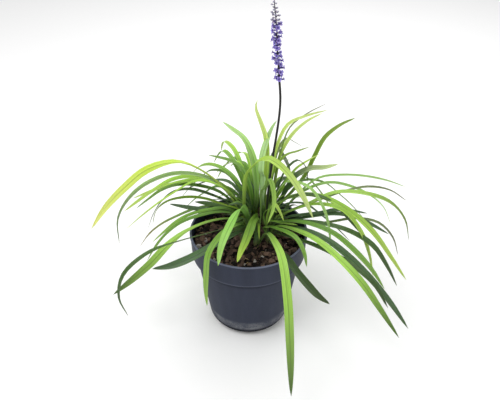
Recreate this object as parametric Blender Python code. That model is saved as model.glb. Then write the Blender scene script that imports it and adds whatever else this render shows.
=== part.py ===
"""A liriope in flower, standing in its round nursery pot.

Units are metres with +Z up. The origin is the centre of the pot's underside.
Azimuths are in degrees: 0 points right (+X), 90 away from the viewer (+Y), -90 to the viewer.

The crown of the plant is a ring of leafy shoots round one middle point. Each shoot owns a wedge
of space that opens from that point, and all its leaves stay inside the wedge, so two shoots
never cross. The flower stalk rises in the upright plane between two wedges.
"""

import math
import random
from dataclasses import dataclass

import bmesh
import bpy
from mathutils import Matrix, Vector

MM = 0.001
GAP = 0.3 * MM

# Pot: a straight band under the rim, a step, then a tapering body with a round foot.
RIM_RADIUS = 95.0 * MM
POT_HEIGHT = 177.0 * MM
BAND_HEIGHT = 41.0 * MM
BAND_TAPER = 1.5 * MM
BODY_TOP_RADIUS = 86.0 * MM
BODY_BASE_RADIUS = 68.0 * MM
FOOT_ROUND = 19.0 * MM
WALL = 2.4 * MM
LIP_OVERHANG = 1.0 * MM
LIP_HEIGHT = 4.0 * MM
FLOOR_THICKNESS = 5.0 * MM
POT_SIDES = 44
GROOVE_COUNT = 8
GROOVE_START = 15.0
GROOVE_WIDTH = 7.0 * MM
GROOVE_DEPTH = 3.0 * MM
DRAIN_HOLE_RADIUS = 4.0 * MM
DRAIN_HOLE_REACH = 44.0 * MM

# Soil
SOIL_LEVEL = 157.0 * MM
SOIL_RINGS = 8
SOIL_SIDES = 32
CHIP_COUNT = 34
STONE_COUNT = 5

# Crown: a ring of shoots
CROWN_X = 16.0 * MM
CROWN_Y = 18.0 * MM
SHOOT_COUNT = 9
WEDGE_START = 5.0
SHOOT_RING = 30.0 * MM
SHEATH_RADIUS = 5.6 * MM
SHEATH_STRETCH = 1.9
SHEATH_FOOT = 131.0 * MM
SHEATH_TOP = 176.0 * MM
SHEATH_HOLE_MARGIN = 1.1 * MM
LEAF_ROOT = 158.0 * MM
LEAF_COLLAR = 169.0 * MM

# Leaf blade
BLADE_THICKNESS = 1.5 * MM
HERO_SEGMENTS = 7
BENT_SEGMENTS = 20
FILLER_SEGMENTS = 6
WEDGE_CLEARANCE = 0.25 * MM
RIM_CLEARANCE = 5.0 * MM
SOIL_CLEARANCE = 9.0 * MM
CROSSING_HEIGHT = 262.0 * MM

# Flower stalk and head, both in the upright plane at WEDGE_START through the crown's middle
STALK_RADIUS = 1.8 * MM
STALK_TOP_RADIUS = 1.4 * MM
STALK_COURSE = ((11, 133), (12, 170), (15, 235), (21, 300), (25, 332), (29, 370), (30, 395), (29, 414), (28, 424))
HEAD_COURSE = ((28, 424), (25, 458), (23, 483), (22, 503), (20, 520), (18, 540))
RACHIS_RADIUS = 1.4 * MM
RACHIS_TIP_RADIUS = 0.6 * MM
FLORET_COUNT = 84
FLORET_RADIUS = 3.3 * MM
BUD_RADIUS = 1.5 * MM
HEAD_RADIUS = 5.4 * MM
OPEN_SHARE = 0.62
GOLDEN_ANGLE = math.radians(137.5)


@dataclass(frozen=True)
class Leaf:
    """One strap-like leaf.

    azimuth is its direction from the crown's middle, width its widest place in mm, and course
    its through-points as (reach, height) in mm, with an azimuth of their own where the leaf bends
    sideways. roll and root_roll turn the blade about its own length, in degrees at its tip and
    at its root.
    """

    azimuth: float
    width: float
    course: tuple
    roll: float = 0.0
    root_roll: float = 0.0


# The leaves that the photograph shows one by one, anticlockwise from the right.
HERO_LEAVES = (
    Leaf(12, 6, ((39, 190), (68, 228), (104, 253), (151, 249), (200, 237), (251, 213)), 20),
    Leaf(14, 8, ((39, 187), (70, 223), (104, 237), (145, 228), (189, 202), (222, 169), (240, 132)), 12),
    Leaf(22, 9, ((32, 192), (59, 246), (85, 260), (119, 256), (141, 257)), 25),
    Leaf(25, 5, ((26, 205), (49, 270), (68, 279), (83, 265), (89, 232)), 0),
    Leaf(31, 5, ((30, 200), (61, 251), (92, 266), (116, 272)), 0),
    Leaf(33, 8, ((15, 200), (29, 290), (42, 333), (68, 347), (129, 346)), 25),
    Leaf(35, 4, ((25, 210), (48, 318), (77, 345), (128, 355)), 0),
    Leaf(36, 9, ((40, 190), (90, 225), (116, 265), (144, 299), (201, 307)), 25),
    Leaf(38, 8, ((27, 190), (42, 286), (64, 317), (91, 331), (129, 336)), 15),
    Leaf(42, 6, ((20, 210), (39, 276), (82, 279), (113, 276)), 10),
    Leaf(55, 5, ((30, 220), (58, 298), (90, 289), (130, 259)), 15),
    Leaf(62, 12, ((9, 240), (12, 300), (30, 323), (75, 331)), -20),
    Leaf(75, 8, ((20, 215, 62), (26, 285, 60), (28, 322, 68), (30, 345, 84), (36, 368, 98), (38, 380, 93)), 30),
    Leaf(104, 8, ((14, 222), (28, 262), (52, 276), (103, 282)), -18),
    Leaf(111, 8, ((44, 208), (82, 243), (110, 252), (155, 246), (178, 229), (187, 209)), -16),
    Leaf(120, 8, ((38, 207), (70, 245), (107, 256), (131, 241), (156, 209)), -15),
    Leaf(121, 9, ((12, 240), (31, 301), (71, 312), (114, 311)), 25),
    Leaf(130, 7, ((14, 222), (29, 254), (49, 264), (77, 261), (132, 245)), -15),
    Leaf(140, 8, ((32, 219), (58, 246), (98, 249), (135, 229), (148, 212)), -20),
    Leaf(150, 8, ((45, 192), (97, 201), (140, 195), (185, 166), (224, 108), (238, 74)), -25),
    Leaf(155, 7, ((45, 187), (93, 196), (146, 183), (193, 150), (211, 105)), -20),
    Leaf(156, 9, ((40, 215), (74, 237), (107, 233), (170, 203), (245, 155)), -25),
    Leaf(158, 8, ((42, 202), (68, 220), (114, 222), (167, 204), (234, 142)), -35),
    Leaf(162, 10, ((48, 226), (93, 245), (141, 235), (195, 193), (249, 143)), -35),
    Leaf(163, 8, ((50, 196), (87, 187), (146, 157), (193, 117), (223, 74)), -15),
    Leaf(165, 9, ((38, 195), (81, 203), (109, 200)), -25),
    Leaf(171, 8, ((45, 225), (80, 256), (128, 260), (187, 232), (237, 171), (247, 101)), -25),
    Leaf(172, 9, ((40, 190), (83, 194), (113, 195), (148, 200)), -25),
    Leaf(175, 12, ((40, 215), (80, 266), (128, 286), (181, 266), (248, 198), (285, 144)), -55, root_roll=25),
    Leaf(176, 11, ((37, 200), (82, 198), (128, 177), (180, 126)), -15),
    Leaf(185, 8, ((37, 199), (82, 200), (126, 185), (161, 152), (187, 110)), -15),
    Leaf(196, 12, ((31, 187), (69, 196), (110, 187), (144, 168), (192, 122), (248, 80)), -45, root_roll=20),
    Leaf(209, 10, ((31, 178), (91, 189), (152, 193), (203, 187), (243, 153), (243, 112), (236, 79)), -25),
    Leaf(225, 14, ((30, 176), (81, 185), (137, 187), (185, 197), (214, 211)), -25),
    Leaf(233, 10, ((40, 200), (83, 212), (115, 206), (127, 189), (135, 140), (135, 94)), -15),
    Leaf(239, 7, ((42, 212), (77, 226), (107, 218), (124, 188)), 10),
    Leaf(242, 14, ((22, 195), (53, 240), (80, 231), (109, 223), (120, 211), (130, 184)), -10),
    Leaf(256, 14, ((10, 195), (33, 209), (75, 202), (115, 205), (133, 204)), 12),
    Leaf(281, 8, ((30, 225, 278), (42, 288, 282), (55, 276, 283), (63, 250, 281), (68, 226, 276)), -8),
    Leaf(281, 13, ((60, 200), (115, 228), (165, 232), (200, 190), (222, 125), (242, 40)), 10),
    Leaf(293, 12, ((33, 170), (65, 175), (108, 183), (143, 185), (200, 193), (235, 207)), 25),
    Leaf(304, 8, ((16, 180), (49, 196), (80, 208), (105, 210), (119, 198), (128, 174)), 15),
    Leaf(306, 6, ((24, 205), (43, 240), (58, 226), (65, 220)), 10),
    Leaf(314, 12, ((25, 182), (97, 211), (153, 206), (202, 189), (242, 161), (284, 128)), 15),
    Leaf(317, 9, ((22, 168), (82, 187), (136, 196), (183, 195), (223, 184), (252, 154)), 15),
    Leaf(320, 12, ((28, 178), (96, 209), (153, 204), (200, 184), (242, 157), (282, 122)), 15),
    Leaf(320, 13, ((27, 226, 212), (25, 275, 220), (22, 301, 252), (30, 316, 295), (56, 301, 315), (84, 273, 318), (106, 236, 320)), 15),
    Leaf(323, 10, ((39, 196), (88, 218), (132, 222), (169, 209), (203, 188), (231, 160)), 15),
    Leaf(328, 7, ((18, 198), (40, 262), (68, 283), (94, 274), (115, 246), (129, 196), (132, 165)), 12),
    Leaf(332, 8, ((36, 200), (81, 237), (125, 255), (161, 235), (185, 195), (200, 144)), 20),
    Leaf(331, 10, ((48, 196), (95, 213), (140, 218), (182, 213), (213, 184), (239, 145)), 15),
    Leaf(336, 12, ((24, 198), (67, 254), (122, 253), (170, 232), (210, 190), (248, 143)), 20),
    Leaf(342, 9, ((44, 189), (79, 205), (113, 220), (147, 225), (178, 217), (209, 204)), 15),
    Leaf(345, 8, ((33, 186), (61, 203), (90, 211), (117, 224), (145, 229), (172, 229)), 15),
    Leaf(347, 6, ((52, 187), (96, 190), (134, 205), (173, 214), (208, 197), (228, 152)), 10),
    Leaf(355, 9, ((34, 189), (80, 220), (126, 246), (176, 242), (223, 218), (246, 158)), 15),
    Leaf(359, 5, ((43, 193), (80, 215), (118, 233), (156, 248), (197, 248), (235, 224)), 10),
)

# How many more leaves each shoot has, drawn by rule, from the first wedge anticlockwise. The side
# to the viewer is left open, as it is in the photograph.
FILLER_COUNTS = (1, 6, 6, 4, 1, 0, 0, 0, 2)


def new_material(name, colour, roughness, metallic=0.0):
    """Make a Principled material with a linear RGB colour."""
    material = bpy.data.materials.new(name)
    material.use_nodes = True
    shader = material.node_tree.nodes["Principled BSDF"]
    shader.inputs["Base Color"].default_value = (*colour, 1.0)
    shader.inputs["Roughness"].default_value = roughness
    shader.inputs["Metallic"].default_value = metallic
    material.diffuse_color = (*colour, 1.0)
    return material


def object_from_bmesh(name, mesh_builder, collection=None):
    """Turn a bmesh into an object, and free the bmesh."""
    mesh = bpy.data.meshes.new(name)
    bmesh.ops.recalc_face_normals(mesh_builder, faces=mesh_builder.faces)
    mesh_builder.to_mesh(mesh)
    mesh_builder.free()
    obj = bpy.data.objects.new(name, mesh)
    (collection or bpy.context.scene.collection).objects.link(obj)
    return obj


def smooth(obj, angle=35.0):
    """Shade an object smooth, with edges over an angle kept sharp."""
    obj.data.shade_smooth()
    obj.data.set_sharp_from_angle(angle=math.radians(angle))


def boolean(obj, operation, collection):
    """Join a collection to an object, or cut it out of the object, and remove the collection."""
    modifier = obj.modifiers.new(operation.title(), "BOOLEAN")
    modifier.operation = operation
    modifier.solver = "EXACT"
    modifier.operand_type = "COLLECTION"
    modifier.collection = collection
    bpy.context.view_layer.update()
    depsgraph = bpy.context.evaluated_depsgraph_get()
    result = bpy.data.meshes.new_from_object(obj.evaluated_get(depsgraph), depsgraph=depsgraph)
    obj.modifiers.remove(modifier)
    obj.data = result
    for other in list(collection.objects):
        bpy.data.objects.remove(other, do_unlink=True)
    bpy.data.collections.remove(collection)


def triangulate(obj):
    """Split every face of an object into triangles."""
    builder = bmesh.new()
    builder.from_mesh(obj.data)
    bmesh.ops.triangulate(builder, faces=builder.faces)
    builder.to_mesh(obj.data)
    builder.free()


def keep_largest_body(obj):
    """Weld near points and drop the loose scraps that a union can leave."""
    builder = bmesh.new()
    builder.from_mesh(obj.data)
    bmesh.ops.remove_doubles(builder, verts=builder.verts, dist=0.0005 * MM)
    bmesh.ops.dissolve_degenerate(builder, edges=builder.edges, dist=0.0005 * MM)
    bmesh.ops.triangulate(builder, faces=builder.faces)
    loose = [edge for edge in builder.edges if not edge.link_faces]
    bmesh.ops.delete(builder, geom=loose, context="EDGES")
    unseen = set(builder.verts)
    bodies = []
    while unseen:
        front = [unseen.pop()]
        body = set(front)
        while front:
            vert = front.pop()
            for edge in vert.link_edges:
                other = edge.other_vert(vert)
                if other in unseen:
                    unseen.discard(other)
                    body.add(other)
                    front.append(other)
        bodies.append(body)
    bodies.sort(key=len)
    scraps = [vert for body in bodies[:-1] for vert in body]
    bmesh.ops.delete(builder, geom=scraps, context="VERTS")
    builder.to_mesh(obj.data)
    builder.free()


def new_collection(name):
    """Make a collection for pieces that a boolean uses up."""
    collection = bpy.data.collections.new(name)
    bpy.context.scene.collection.children.link(collection)
    return collection


def arc(centre_r, centre_z, radius, start, end, steps):
    """List profile points (r, z) on an arc, with angles in degrees."""
    points = []
    for step in range(steps + 1):
        angle = math.radians(start + (end - start) * step / steps)
        points.append((centre_r + radius * math.cos(angle), centre_z + radius * math.sin(angle)))
    return points


def turned(name, profile, sides):
    """Spin a profile of (r, z) points, whose ends are on the axis, into a closed body."""
    builder = bmesh.new()
    verts = [builder.verts.new((r, 0.0, z)) for r, z in profile]
    edges = [builder.edges.new(pair) for pair in zip(verts, verts[1:])]
    bmesh.ops.spin(
        builder,
        geom=verts + edges,
        cent=(0, 0, 0),
        axis=(0, 0, 1),
        angle=math.tau,
        steps=sides,
        use_merge=True,
        use_duplicate=False,
    )
    bmesh.ops.remove_doubles(builder, verts=builder.verts, dist=0.01 * MM)
    return object_from_bmesh(name, builder)


def pot_outside():
    """List the pot's outer profile from the underside's middle up to the lip."""
    step_height = POT_HEIGHT - BAND_HEIGHT
    foot_centre = BODY_BASE_RADIUS - FOOT_ROUND
    profile = [(0.0, 0.0)]
    profile += arc(foot_centre, FOOT_ROUND, FOOT_ROUND, -90, -4, 5)
    profile += [(BODY_TOP_RADIUS, step_height - 3.0 * MM)]
    profile += [(RIM_RADIUS - LIP_OVERHANG - BAND_TAPER, step_height)]
    profile += [(RIM_RADIUS - LIP_OVERHANG, POT_HEIGHT - LIP_HEIGHT)]
    profile += [(RIM_RADIUS, POT_HEIGHT - LIP_HEIGHT + 0.6 * MM)]
    profile += arc(RIM_RADIUS - 1.2 * MM, POT_HEIGHT - 1.2 * MM, 1.2 * MM, 0, 90, 2)
    return profile


def pot_inside(clearance=0.0):
    """List the pot's inner profile from the lip down to the floor's middle.

    With a clearance it is the outline of what fills the pot.
    """
    step_height = POT_HEIGHT - BAND_HEIGHT
    band_top = RIM_RADIUS - LIP_OVERHANG - WALL - clearance
    return [
        (band_top, POT_HEIGHT - 0.5 * MM),
        (band_top - BAND_TAPER, step_height + WALL + clearance),
        (BODY_TOP_RADIUS - WALL - clearance, step_height + clearance),
        (BODY_BASE_RADIUS - WALL - clearance, FLOOR_THICKNESS + 13.0 * MM),
        (BODY_BASE_RADIUS - WALL - 8.0 * MM - clearance, FLOOR_THICKNESS + clearance),
        (0.0, FLOOR_THICKNESS + clearance),
    ]


def make_pot():
    """Turn the pot, then cut its water grooves and drain holes."""
    pot = turned("pot", pot_outside() + pot_inside(), POT_SIDES)
    cutters = new_collection("pot_cutters")
    for index in range(GROOVE_COUNT):
        turn = Matrix.Rotation(math.radians(GROOVE_START) + math.tau * index / GROOVE_COUNT, 4, "Z")
        groove = bmesh.new()
        inner = DRAIN_HOLE_REACH
        length = BODY_BASE_RADIUS + 5.0 * MM - inner
        shape = Matrix.Diagonal((length, GROOVE_WIDTH, 2.0 * GROOVE_DEPTH, 1.0))
        place = Matrix.Translation((inner + length / 2, 0, 0))
        bmesh.ops.create_cube(groove, size=1.0, matrix=turn @ place @ shape)
        object_from_bmesh("groove", groove, cutters)
        hole = bmesh.new()
        place = Matrix.Translation((inner, 0, 0))
        bmesh.ops.create_cone(
            hole,
            cap_ends=True,
            segments=10,
            radius1=DRAIN_HOLE_RADIUS,
            radius2=DRAIN_HOLE_RADIUS,
            depth=4.0 * FLOOR_THICKNESS,
            matrix=turn @ place,
        )
        object_from_bmesh("hole", hole, cutters)
    boolean(pot, "DIFFERENCE", cutters)
    smooth(pot)
    pot.data.materials.append(new_material("anthracite_plastic", (0.045, 0.052, 0.07), 0.5))
    return pot


def shoot_azimuth(index):
    """Give the middle azimuth of a shoot's wedge."""
    return WEDGE_START + 360.0 * (index + 0.5) / SHOOT_COUNT


def shoot_index(azimuth):
    """Say which shoot's wedge holds an azimuth."""
    return int(((azimuth - WEDGE_START) % 360.0) // (360.0 / SHOOT_COUNT))


def crown_point(azimuth, reach, height):
    """Give the point at an azimuth, reach and height from the crown's middle."""
    angle = math.radians(azimuth)
    return Vector((CROWN_X + reach * math.cos(angle), CROWN_Y + reach * math.sin(angle), height))


def soil_height(x, y):
    """Give the soil's surface: low mounds, calm near the crown and level at the pot's wall."""
    rough = 2.4 * math.sin(x * 190.0 + 1.3) * math.cos(y * 170.0)
    rough += 1.5 * math.sin(x * 330.0 - y * 250.0 + 0.6)
    calm = min(1.0, max(0.25, (math.hypot(x - CROWN_X, y - CROWN_Y) / MM - 20.0) / 30.0))
    return SOIL_LEVEL + rough * calm * MM


def make_lump(rng, collection, x, y, size, flatness):
    """Add one bark chip or stone: a box with shifted corners, half sunk in the soil."""
    builder = bmesh.new()
    shape = Matrix.Diagonal((size, size * rng.uniform(0.5, 0.8), size * flatness, 1.0))
    bmesh.ops.create_cube(builder, size=1.0, matrix=shape)
    for vert in builder.verts:
        vert.co += Vector([rng.uniform(-0.14, 0.14) * size for _ in range(3)])
    turn = Matrix.Rotation(rng.uniform(0, math.tau), 4, "Z") @ Matrix.Rotation(rng.uniform(-0.5, 0.5), 4, "X")
    lift = soil_height(x, y) + size * flatness * 0.2
    builder.transform(Matrix.Translation((x, y, lift)) @ turn)
    bmesh.ops.triangulate(builder, faces=builder.faces)
    object_from_bmesh("lump", builder, collection)


def scatter_lumps(rng, collection):
    """Scatter bark chips and a few stones over the open soil, clear of shoots and wall."""
    placed = 0
    step = 0
    while placed < CHIP_COUNT + STONE_COUNT:
        step += 1
        reach = 81.0 * MM * math.sqrt((step % 97 + 0.5) / 97)
        angle = step * GOLDEN_ANGLE
        x = reach * math.cos(angle)
        y = reach * math.sin(angle)
        if math.hypot(x - CROWN_X, y - CROWN_Y) < SHOOT_RING + SHEATH_RADIUS * SHEATH_STRETCH + 9.0 * MM:
            continue
        placed += 1
        if placed <= CHIP_COUNT:
            make_lump(rng, collection, x, y, rng.uniform(8.0, 15.0) * MM, 0.38)
        else:
            make_lump(rng, collection, x, y, rng.uniform(5.5, 8.0) * MM, 0.75)


def make_soil():
    """Fill the pot with soil: a rough top with chips, and plain blind holes for the stems."""
    rng = random.Random(11)
    outline = [point for point in reversed(pot_inside(GAP)) if point[1] < SOIL_LEVEL]
    band_inner, band_outer = pot_inside(GAP)[1], pot_inside(GAP)[0]
    share = (SOIL_LEVEL - band_inner[1]) / (band_outer[1] - band_inner[1])
    edge_radius = band_inner[0] + share * (band_outer[0] - band_inner[0])
    top = [(edge_radius * (1.0 - ring / SOIL_RINGS), SOIL_LEVEL) for ring in range(SOIL_RINGS + 1)]
    soil = turned("soil", outline + top, SOIL_SIDES)
    for vert in soil.data.vertices:
        if vert.co.z > SOIL_LEVEL - 0.01 * MM and vert.co.xy.length < edge_radius - 1.0 * MM:
            vert.co.z = soil_height(vert.co.x, vert.co.y) + rng.uniform(-0.7, 0.7) * MM
    triangulate(soil)
    lumps = new_collection("lumps")
    scatter_lumps(rng, lumps)
    boolean(soil, "UNION", lumps)
    holes = new_collection("stem_holes")
    for index in range(SHOOT_COUNT):
        azimuth = shoot_azimuth(index)
        foot = crown_point(azimuth, SHOOT_RING, SHEATH_FOOT - GAP)
        length = SHEATH_RADIUS * SHEATH_STRETCH + SHEATH_HOLE_MARGIN
        add_hole(holes, foot, length, SHEATH_RADIUS + SHEATH_HOLE_MARGIN, azimuth, 12)
    foot = crown_point(WEDGE_START, STALK_COURSE[0][0] * MM, STALK_COURSE[0][1] * MM - GAP)
    add_hole(holes, foot, STALK_RADIUS + 0.8 * MM, STALK_RADIUS + 0.8 * MM, 0.0, 10)
    boolean(soil, "DIFFERENCE", holes)
    keep_largest_body(soil)
    soil.data.materials.append(new_material("bark_soil", (0.05, 0.028, 0.016), 0.95))
    return soil


def add_hole(collection, foot, half_length, half_breadth, azimuth, sides):
    """Add the cutter of one upright oval hole that starts at its foot."""
    builder = bmesh.new()
    depth = 60.0 * MM
    place = Matrix.Translation(foot + Vector((0, 0, depth / 2)))
    place = place @ Matrix.Rotation(math.radians(azimuth), 4, "Z")
    place = place @ Matrix.Diagonal((half_length, half_breadth, depth, 1.0))
    bmesh.ops.create_cone(
        builder, cap_ends=True, segments=sides, radius1=1.0, radius2=1.0, depth=1.0, matrix=place
    )
    object_from_bmesh("hole", builder, collection)


def spline(points, count):
    """Read count + 1 points at even arc length from a Catmull-Rom curve through the points."""
    ends = [2 * points[0] - points[1], *points, 2 * points[-1] - points[-2]]
    fine = []
    for a, b, c, d in zip(ends, ends[1:], ends[2:], ends[3:]):
        for step in range(12):
            t = step / 12
            fine.append(
                0.5 * (2 * b + (c - a) * t + (2 * a - 5 * b + 4 * c - d) * t * t + (3 * b - a - 3 * c + d) * t**3)
            )
    fine.append(points[-1].copy())
    lengths = [0.0]
    for a, b in zip(fine, fine[1:]):
        lengths.append(lengths[-1] + (b - a).length)
    result = []
    place = 0
    for index in range(count + 1):
        target = lengths[-1] * index / count
        while place < len(fine) - 2 and lengths[place + 1] < target:
            place += 1
        run = lengths[place + 1] - lengths[place]
        share = (target - lengths[place]) / run if run else 0.0
        result.append(fine[place].lerp(fine[place + 1], min(1.0, share)))
    return result


def half_width(leaf, share):
    """Give the blade's half width at a share of its length: narrow root, blunt tip."""
    root = 0.42 + 0.58 * min(1.0, share / 0.45)
    tip = math.sqrt(max(0.0, 1.0 - max(0.0, (share - 0.62) / 0.385) ** 2.2))
    return leaf.width * MM / 2 * root * max(0.1, tip)


def keep_in_wedge(point, index, reach):
    """Move a point sideways into its shoot's wedge, so that a blade of that half width fits."""
    half = math.radians(180.0 / SHOOT_COUNT)
    along = Vector((math.cos(math.radians(shoot_azimuth(index))), math.sin(math.radians(shoot_azimuth(index)))))
    across = Vector((-along.y, along.x))
    flat = Vector((point.x - CROWN_X, point.y - CROWN_Y))
    low = WEDGE_CLEARANCE + (STALK_RADIUS if index == 0 else 0.0)
    high = WEDGE_CLEARANCE + (STALK_RADIUS if index == SHOOT_COUNT - 1 else 0.0)
    u = max(flat.dot(along), (2 * reach + low + high) / (2 * math.sin(half)))
    v = flat.dot(across)
    v = min(v, u * math.tan(half) - (reach + high) / math.cos(half))
    v = max(v, (reach + low) / math.cos(half) - u * math.tan(half))
    flat = along * u + across * v
    return Vector((CROWN_X + flat.x, CROWN_Y + flat.y, point.z))


def lift_over_pot(points):
    """Raise the stations of a course where it would touch the rim or the soil."""
    for _ in range(4):
        for index in range(2, len(points)):
            a, b = points[index - 1], points[index]
            lack = 0.0
            for step in range(9):
                sample = a.lerp(b, step / 8)
                radius = sample.xy.length
                if radius < RIM_RADIUS - 11.0 * MM:
                    lack = max(lack, SOIL_LEVEL + SOIL_CLEARANCE - sample.z)
                elif radius < RIM_RADIUS + 4.0 * MM:
                    lack = max(lack, POT_HEIGHT + RIM_CLEARANCE - sample.z)
            a.z += lack
            b.z += lack


def is_bent(leaf):
    """Say whether a leaf bends sideways, by through-points with an azimuth of their own."""
    return len(leaf.course[0]) == 3


def root_azimuth(leaf):
    """Say where a leaf's first through-point lies, which decides the shoot that it grows from."""
    return leaf.course[0][2] if is_bent(leaf) else leaf.azimuth


def leaf_course(leaf, index, rank, segments):
    """Give a leaf's stations from its root in the sheath to its tip.

    A shoot is a flat fan: rank 0 is its innermost leaf and rank 1 its outermost. A leaf that
    bends sideways leaves its wedge above CROSSING_HEIGHT, where it is clear of the others.
    """
    reach = SHOOT_RING + (rank * 2.0 - 1.0) * SHEATH_RADIUS * (SHEATH_STRETCH - 0.75)
    aside = (root_azimuth(leaf) - shoot_azimuth(index) + 180.0) % 360.0 - 180.0
    root = crown_point(shoot_azimuth(index) + aside * 0.25, reach, LEAF_ROOT)
    collar = crown_point(shoot_azimuth(index) + aside * 0.32, reach + 0.5 * MM, LEAF_COLLAR)
    nearest = reach * 0.5 + rank * 4.0 * MM
    points = [root, collar]
    for reach, height, *bend in leaf.course:
        points.append(crown_point(bend[0] if bend else leaf.azimuth, max(reach * MM, nearest), height * MM))
    stations = spline(points, segments)
    lift_over_pot(stations)
    for place, station in enumerate(stations):
        if is_bent(leaf) and station.z > CROSSING_HEIGHT:
            break
        room = half_width(leaf, place / segments) + rank * 0.8 * MM
        stations[place] = keep_in_wedge(station, index, room)
    return stations


def make_blade(leaf, index, rank, segments, collection):
    """Model one leaf as a thin keeled strap of three long edges, split alike on both faces."""
    stations = leaf_course(leaf, index, rank, segments)
    builder = bmesh.new()
    rings = []
    facing = math.radians(leaf.azimuth)
    for place, station in enumerate(stations):
        share = place / segments
        ahead = stations[min(place + 1, segments)] - stations[max(place - 1, 0)]
        tangent = ahead.normalized()
        across = Vector((-math.sin(facing), math.cos(facing), 0))
        across = (across - tangent * across.dot(tangent)).normalized()
        turn = leaf.root_roll + (leaf.roll - leaf.root_roll) * share
        across = Matrix.Rotation(math.radians(turn), 3, tangent) @ across
        normal = tangent.cross(across)
        half = half_width(leaf, share)
        thick = BLADE_THICKNESS * (0.6 if place == segments else 1.0) / 2
        corners = (across * half + normal * thick, -across * half + normal * thick, -normal * thick)
        rings.append([builder.verts.new(station + corner) for corner in corners])
    for a, b in zip(rings, rings[1:]):
        for left, right in ((0, 1), (1, 2), (0, 2)):
            builder.faces.new((a[left], a[right], b[right]))
            builder.faces.new((a[left], b[right], b[left]))
    builder.faces.new(rings[0])
    builder.faces.new(rings[-1])
    return object_from_bmesh("blade", builder, collection)


def filler_leaves(index):
    """Draw the leaves that fill a shoot's wedge between the ones that the photograph shows."""
    rng = random.Random(100 + index)
    count = FILLER_COUNTS[index]
    leaves = []
    for number in range(count):
        spread = (number + 0.5) / count - 0.5
        azimuth = shoot_azimuth(index) + 34.0 * spread + rng.uniform(-2.0, 2.0)
        rise = rng.uniform(0.25, 1.0)
        reach = rng.uniform(150.0, 235.0) * (1.0 - 0.25 * rise * (number % 2))
        top = 190.0 + 85.0 * rise
        tip = max(75.0, top - rng.uniform(50.0, 120.0) * (reach / 190.0) ** 2)
        course = (
            (reach * 0.16, 158.0 + (top - 158.0) * 0.62),
            (reach * 0.42, top),
            (reach * 0.74, top * 0.55 + tip * 0.45),
            (reach, tip),
        )
        leaves.append(Leaf(azimuth, rng.uniform(8.0, 11.5), course, rng.uniform(-25.0, 25.0)))
    return leaves


def steepness(leaf):
    """Say how steeply a leaf leaves the crown, from its first through-point."""
    reach, height = leaf.course[0][:2]
    return math.atan2(height * MM - LEAF_COLLAR, reach * MM)


def make_sheath(name, index):
    """Model the short bundle of leaf bases that a shoot's blades grow from."""
    builder = bmesh.new()
    foot = crown_point(shoot_azimuth(index), SHOOT_RING, 0.0)
    turn = Matrix.Rotation(math.radians(shoot_azimuth(index)), 3, "Z")
    levels = (
        (SHEATH_FOOT, SHEATH_RADIUS * 0.86),
        (SOIL_LEVEL + 4.0 * MM, SHEATH_RADIUS),
        (LEAF_COLLAR, SHEATH_RADIUS * 0.9),
        (SHEATH_TOP, SHEATH_RADIUS * 0.45),
    )
    sides = 10
    rings = []
    for height, radius in levels:
        ring = []
        for side in range(sides):
            angle = math.tau * side / sides
            offset = Vector((radius * SHEATH_STRETCH * math.cos(angle), radius * math.sin(angle), height))
            ring.append(builder.verts.new(foot + turn @ offset))
        rings.append(ring)
    for a, b in zip(rings, rings[1:]):
        for side in range(sides):
            after = (side + 1) % sides
            builder.faces.new((a[side], a[after], b[after], b[side]))
    builder.faces.new(rings[0])
    builder.faces.new(rings[-1])
    return object_from_bmesh(name, builder)


def make_tuft(index, material):
    """Grow one shoot: its sheath with every leaf of its wedge joined to it."""
    tuft = make_sheath(f"leaf_tuft_{index + 1:02d}", index)
    blades = new_collection("blades")
    heroes = [leaf for leaf in HERO_LEAVES if shoot_index(root_azimuth(leaf)) == index]
    leaves = sorted(heroes + filler_leaves(index), key=steepness, reverse=True)
    for order, leaf in enumerate(leaves):
        segments = HERO_SEGMENTS if leaf in heroes else FILLER_SEGMENTS
        if is_bent(leaf):
            segments = BENT_SEGMENTS
        make_blade(leaf, index, order / (len(leaves) - 1), segments, blades)
    boolean(tuft, "UNION", blades)
    keep_largest_body(tuft)
    tuft.data.materials.append(material)
    return tuft


def stalk_points(course):
    """Place a course of (reach, height) in mm in the stalk's upright plane."""
    return [crown_point(WEDGE_START, reach * MM, height * MM) for reach, height in course]


def make_rod(name, points, start_radius, end_radius, sides):
    """Model a tapering round rod through points, with flat ends."""
    builder = bmesh.new()
    rings = []
    last = len(points) - 1
    for place, point in enumerate(points):
        tangent = (points[min(place + 1, last)] - points[max(place - 1, 0)]).normalized()
        across = Vector((0, 1, 0)) - tangent * tangent.y
        across.normalize()
        radius = start_radius + (end_radius - start_radius) * place / last
        ring = []
        for side in range(sides):
            spoke = Matrix.Rotation(math.tau * side / sides, 3, tangent) @ across
            ring.append(builder.verts.new(point + spoke * radius))
        rings.append(ring)
    for a, b in zip(rings, rings[1:]):
        for side in range(sides):
            after = (side + 1) % sides
            builder.faces.new((a[side], a[after], b[after], b[side]))
    builder.faces.new(rings[0])
    builder.faces.new(rings[-1])
    return object_from_bmesh(name, builder)


def make_flower_stalk():
    """Model the bare stalk from its hole in the soil up to the head."""
    points = spline(stalk_points(STALK_COURSE), 18)
    points[-1] += (points[-2] - points[-1]).normalized() * GAP
    stalk = make_rod("flower_stalk", points, STALK_RADIUS, STALK_TOP_RADIUS, 10)
    smooth(stalk, 50)
    stalk.data.materials.append(new_material("dark_stalk", (0.018, 0.012, 0.016), 0.5))
    return stalk


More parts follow.
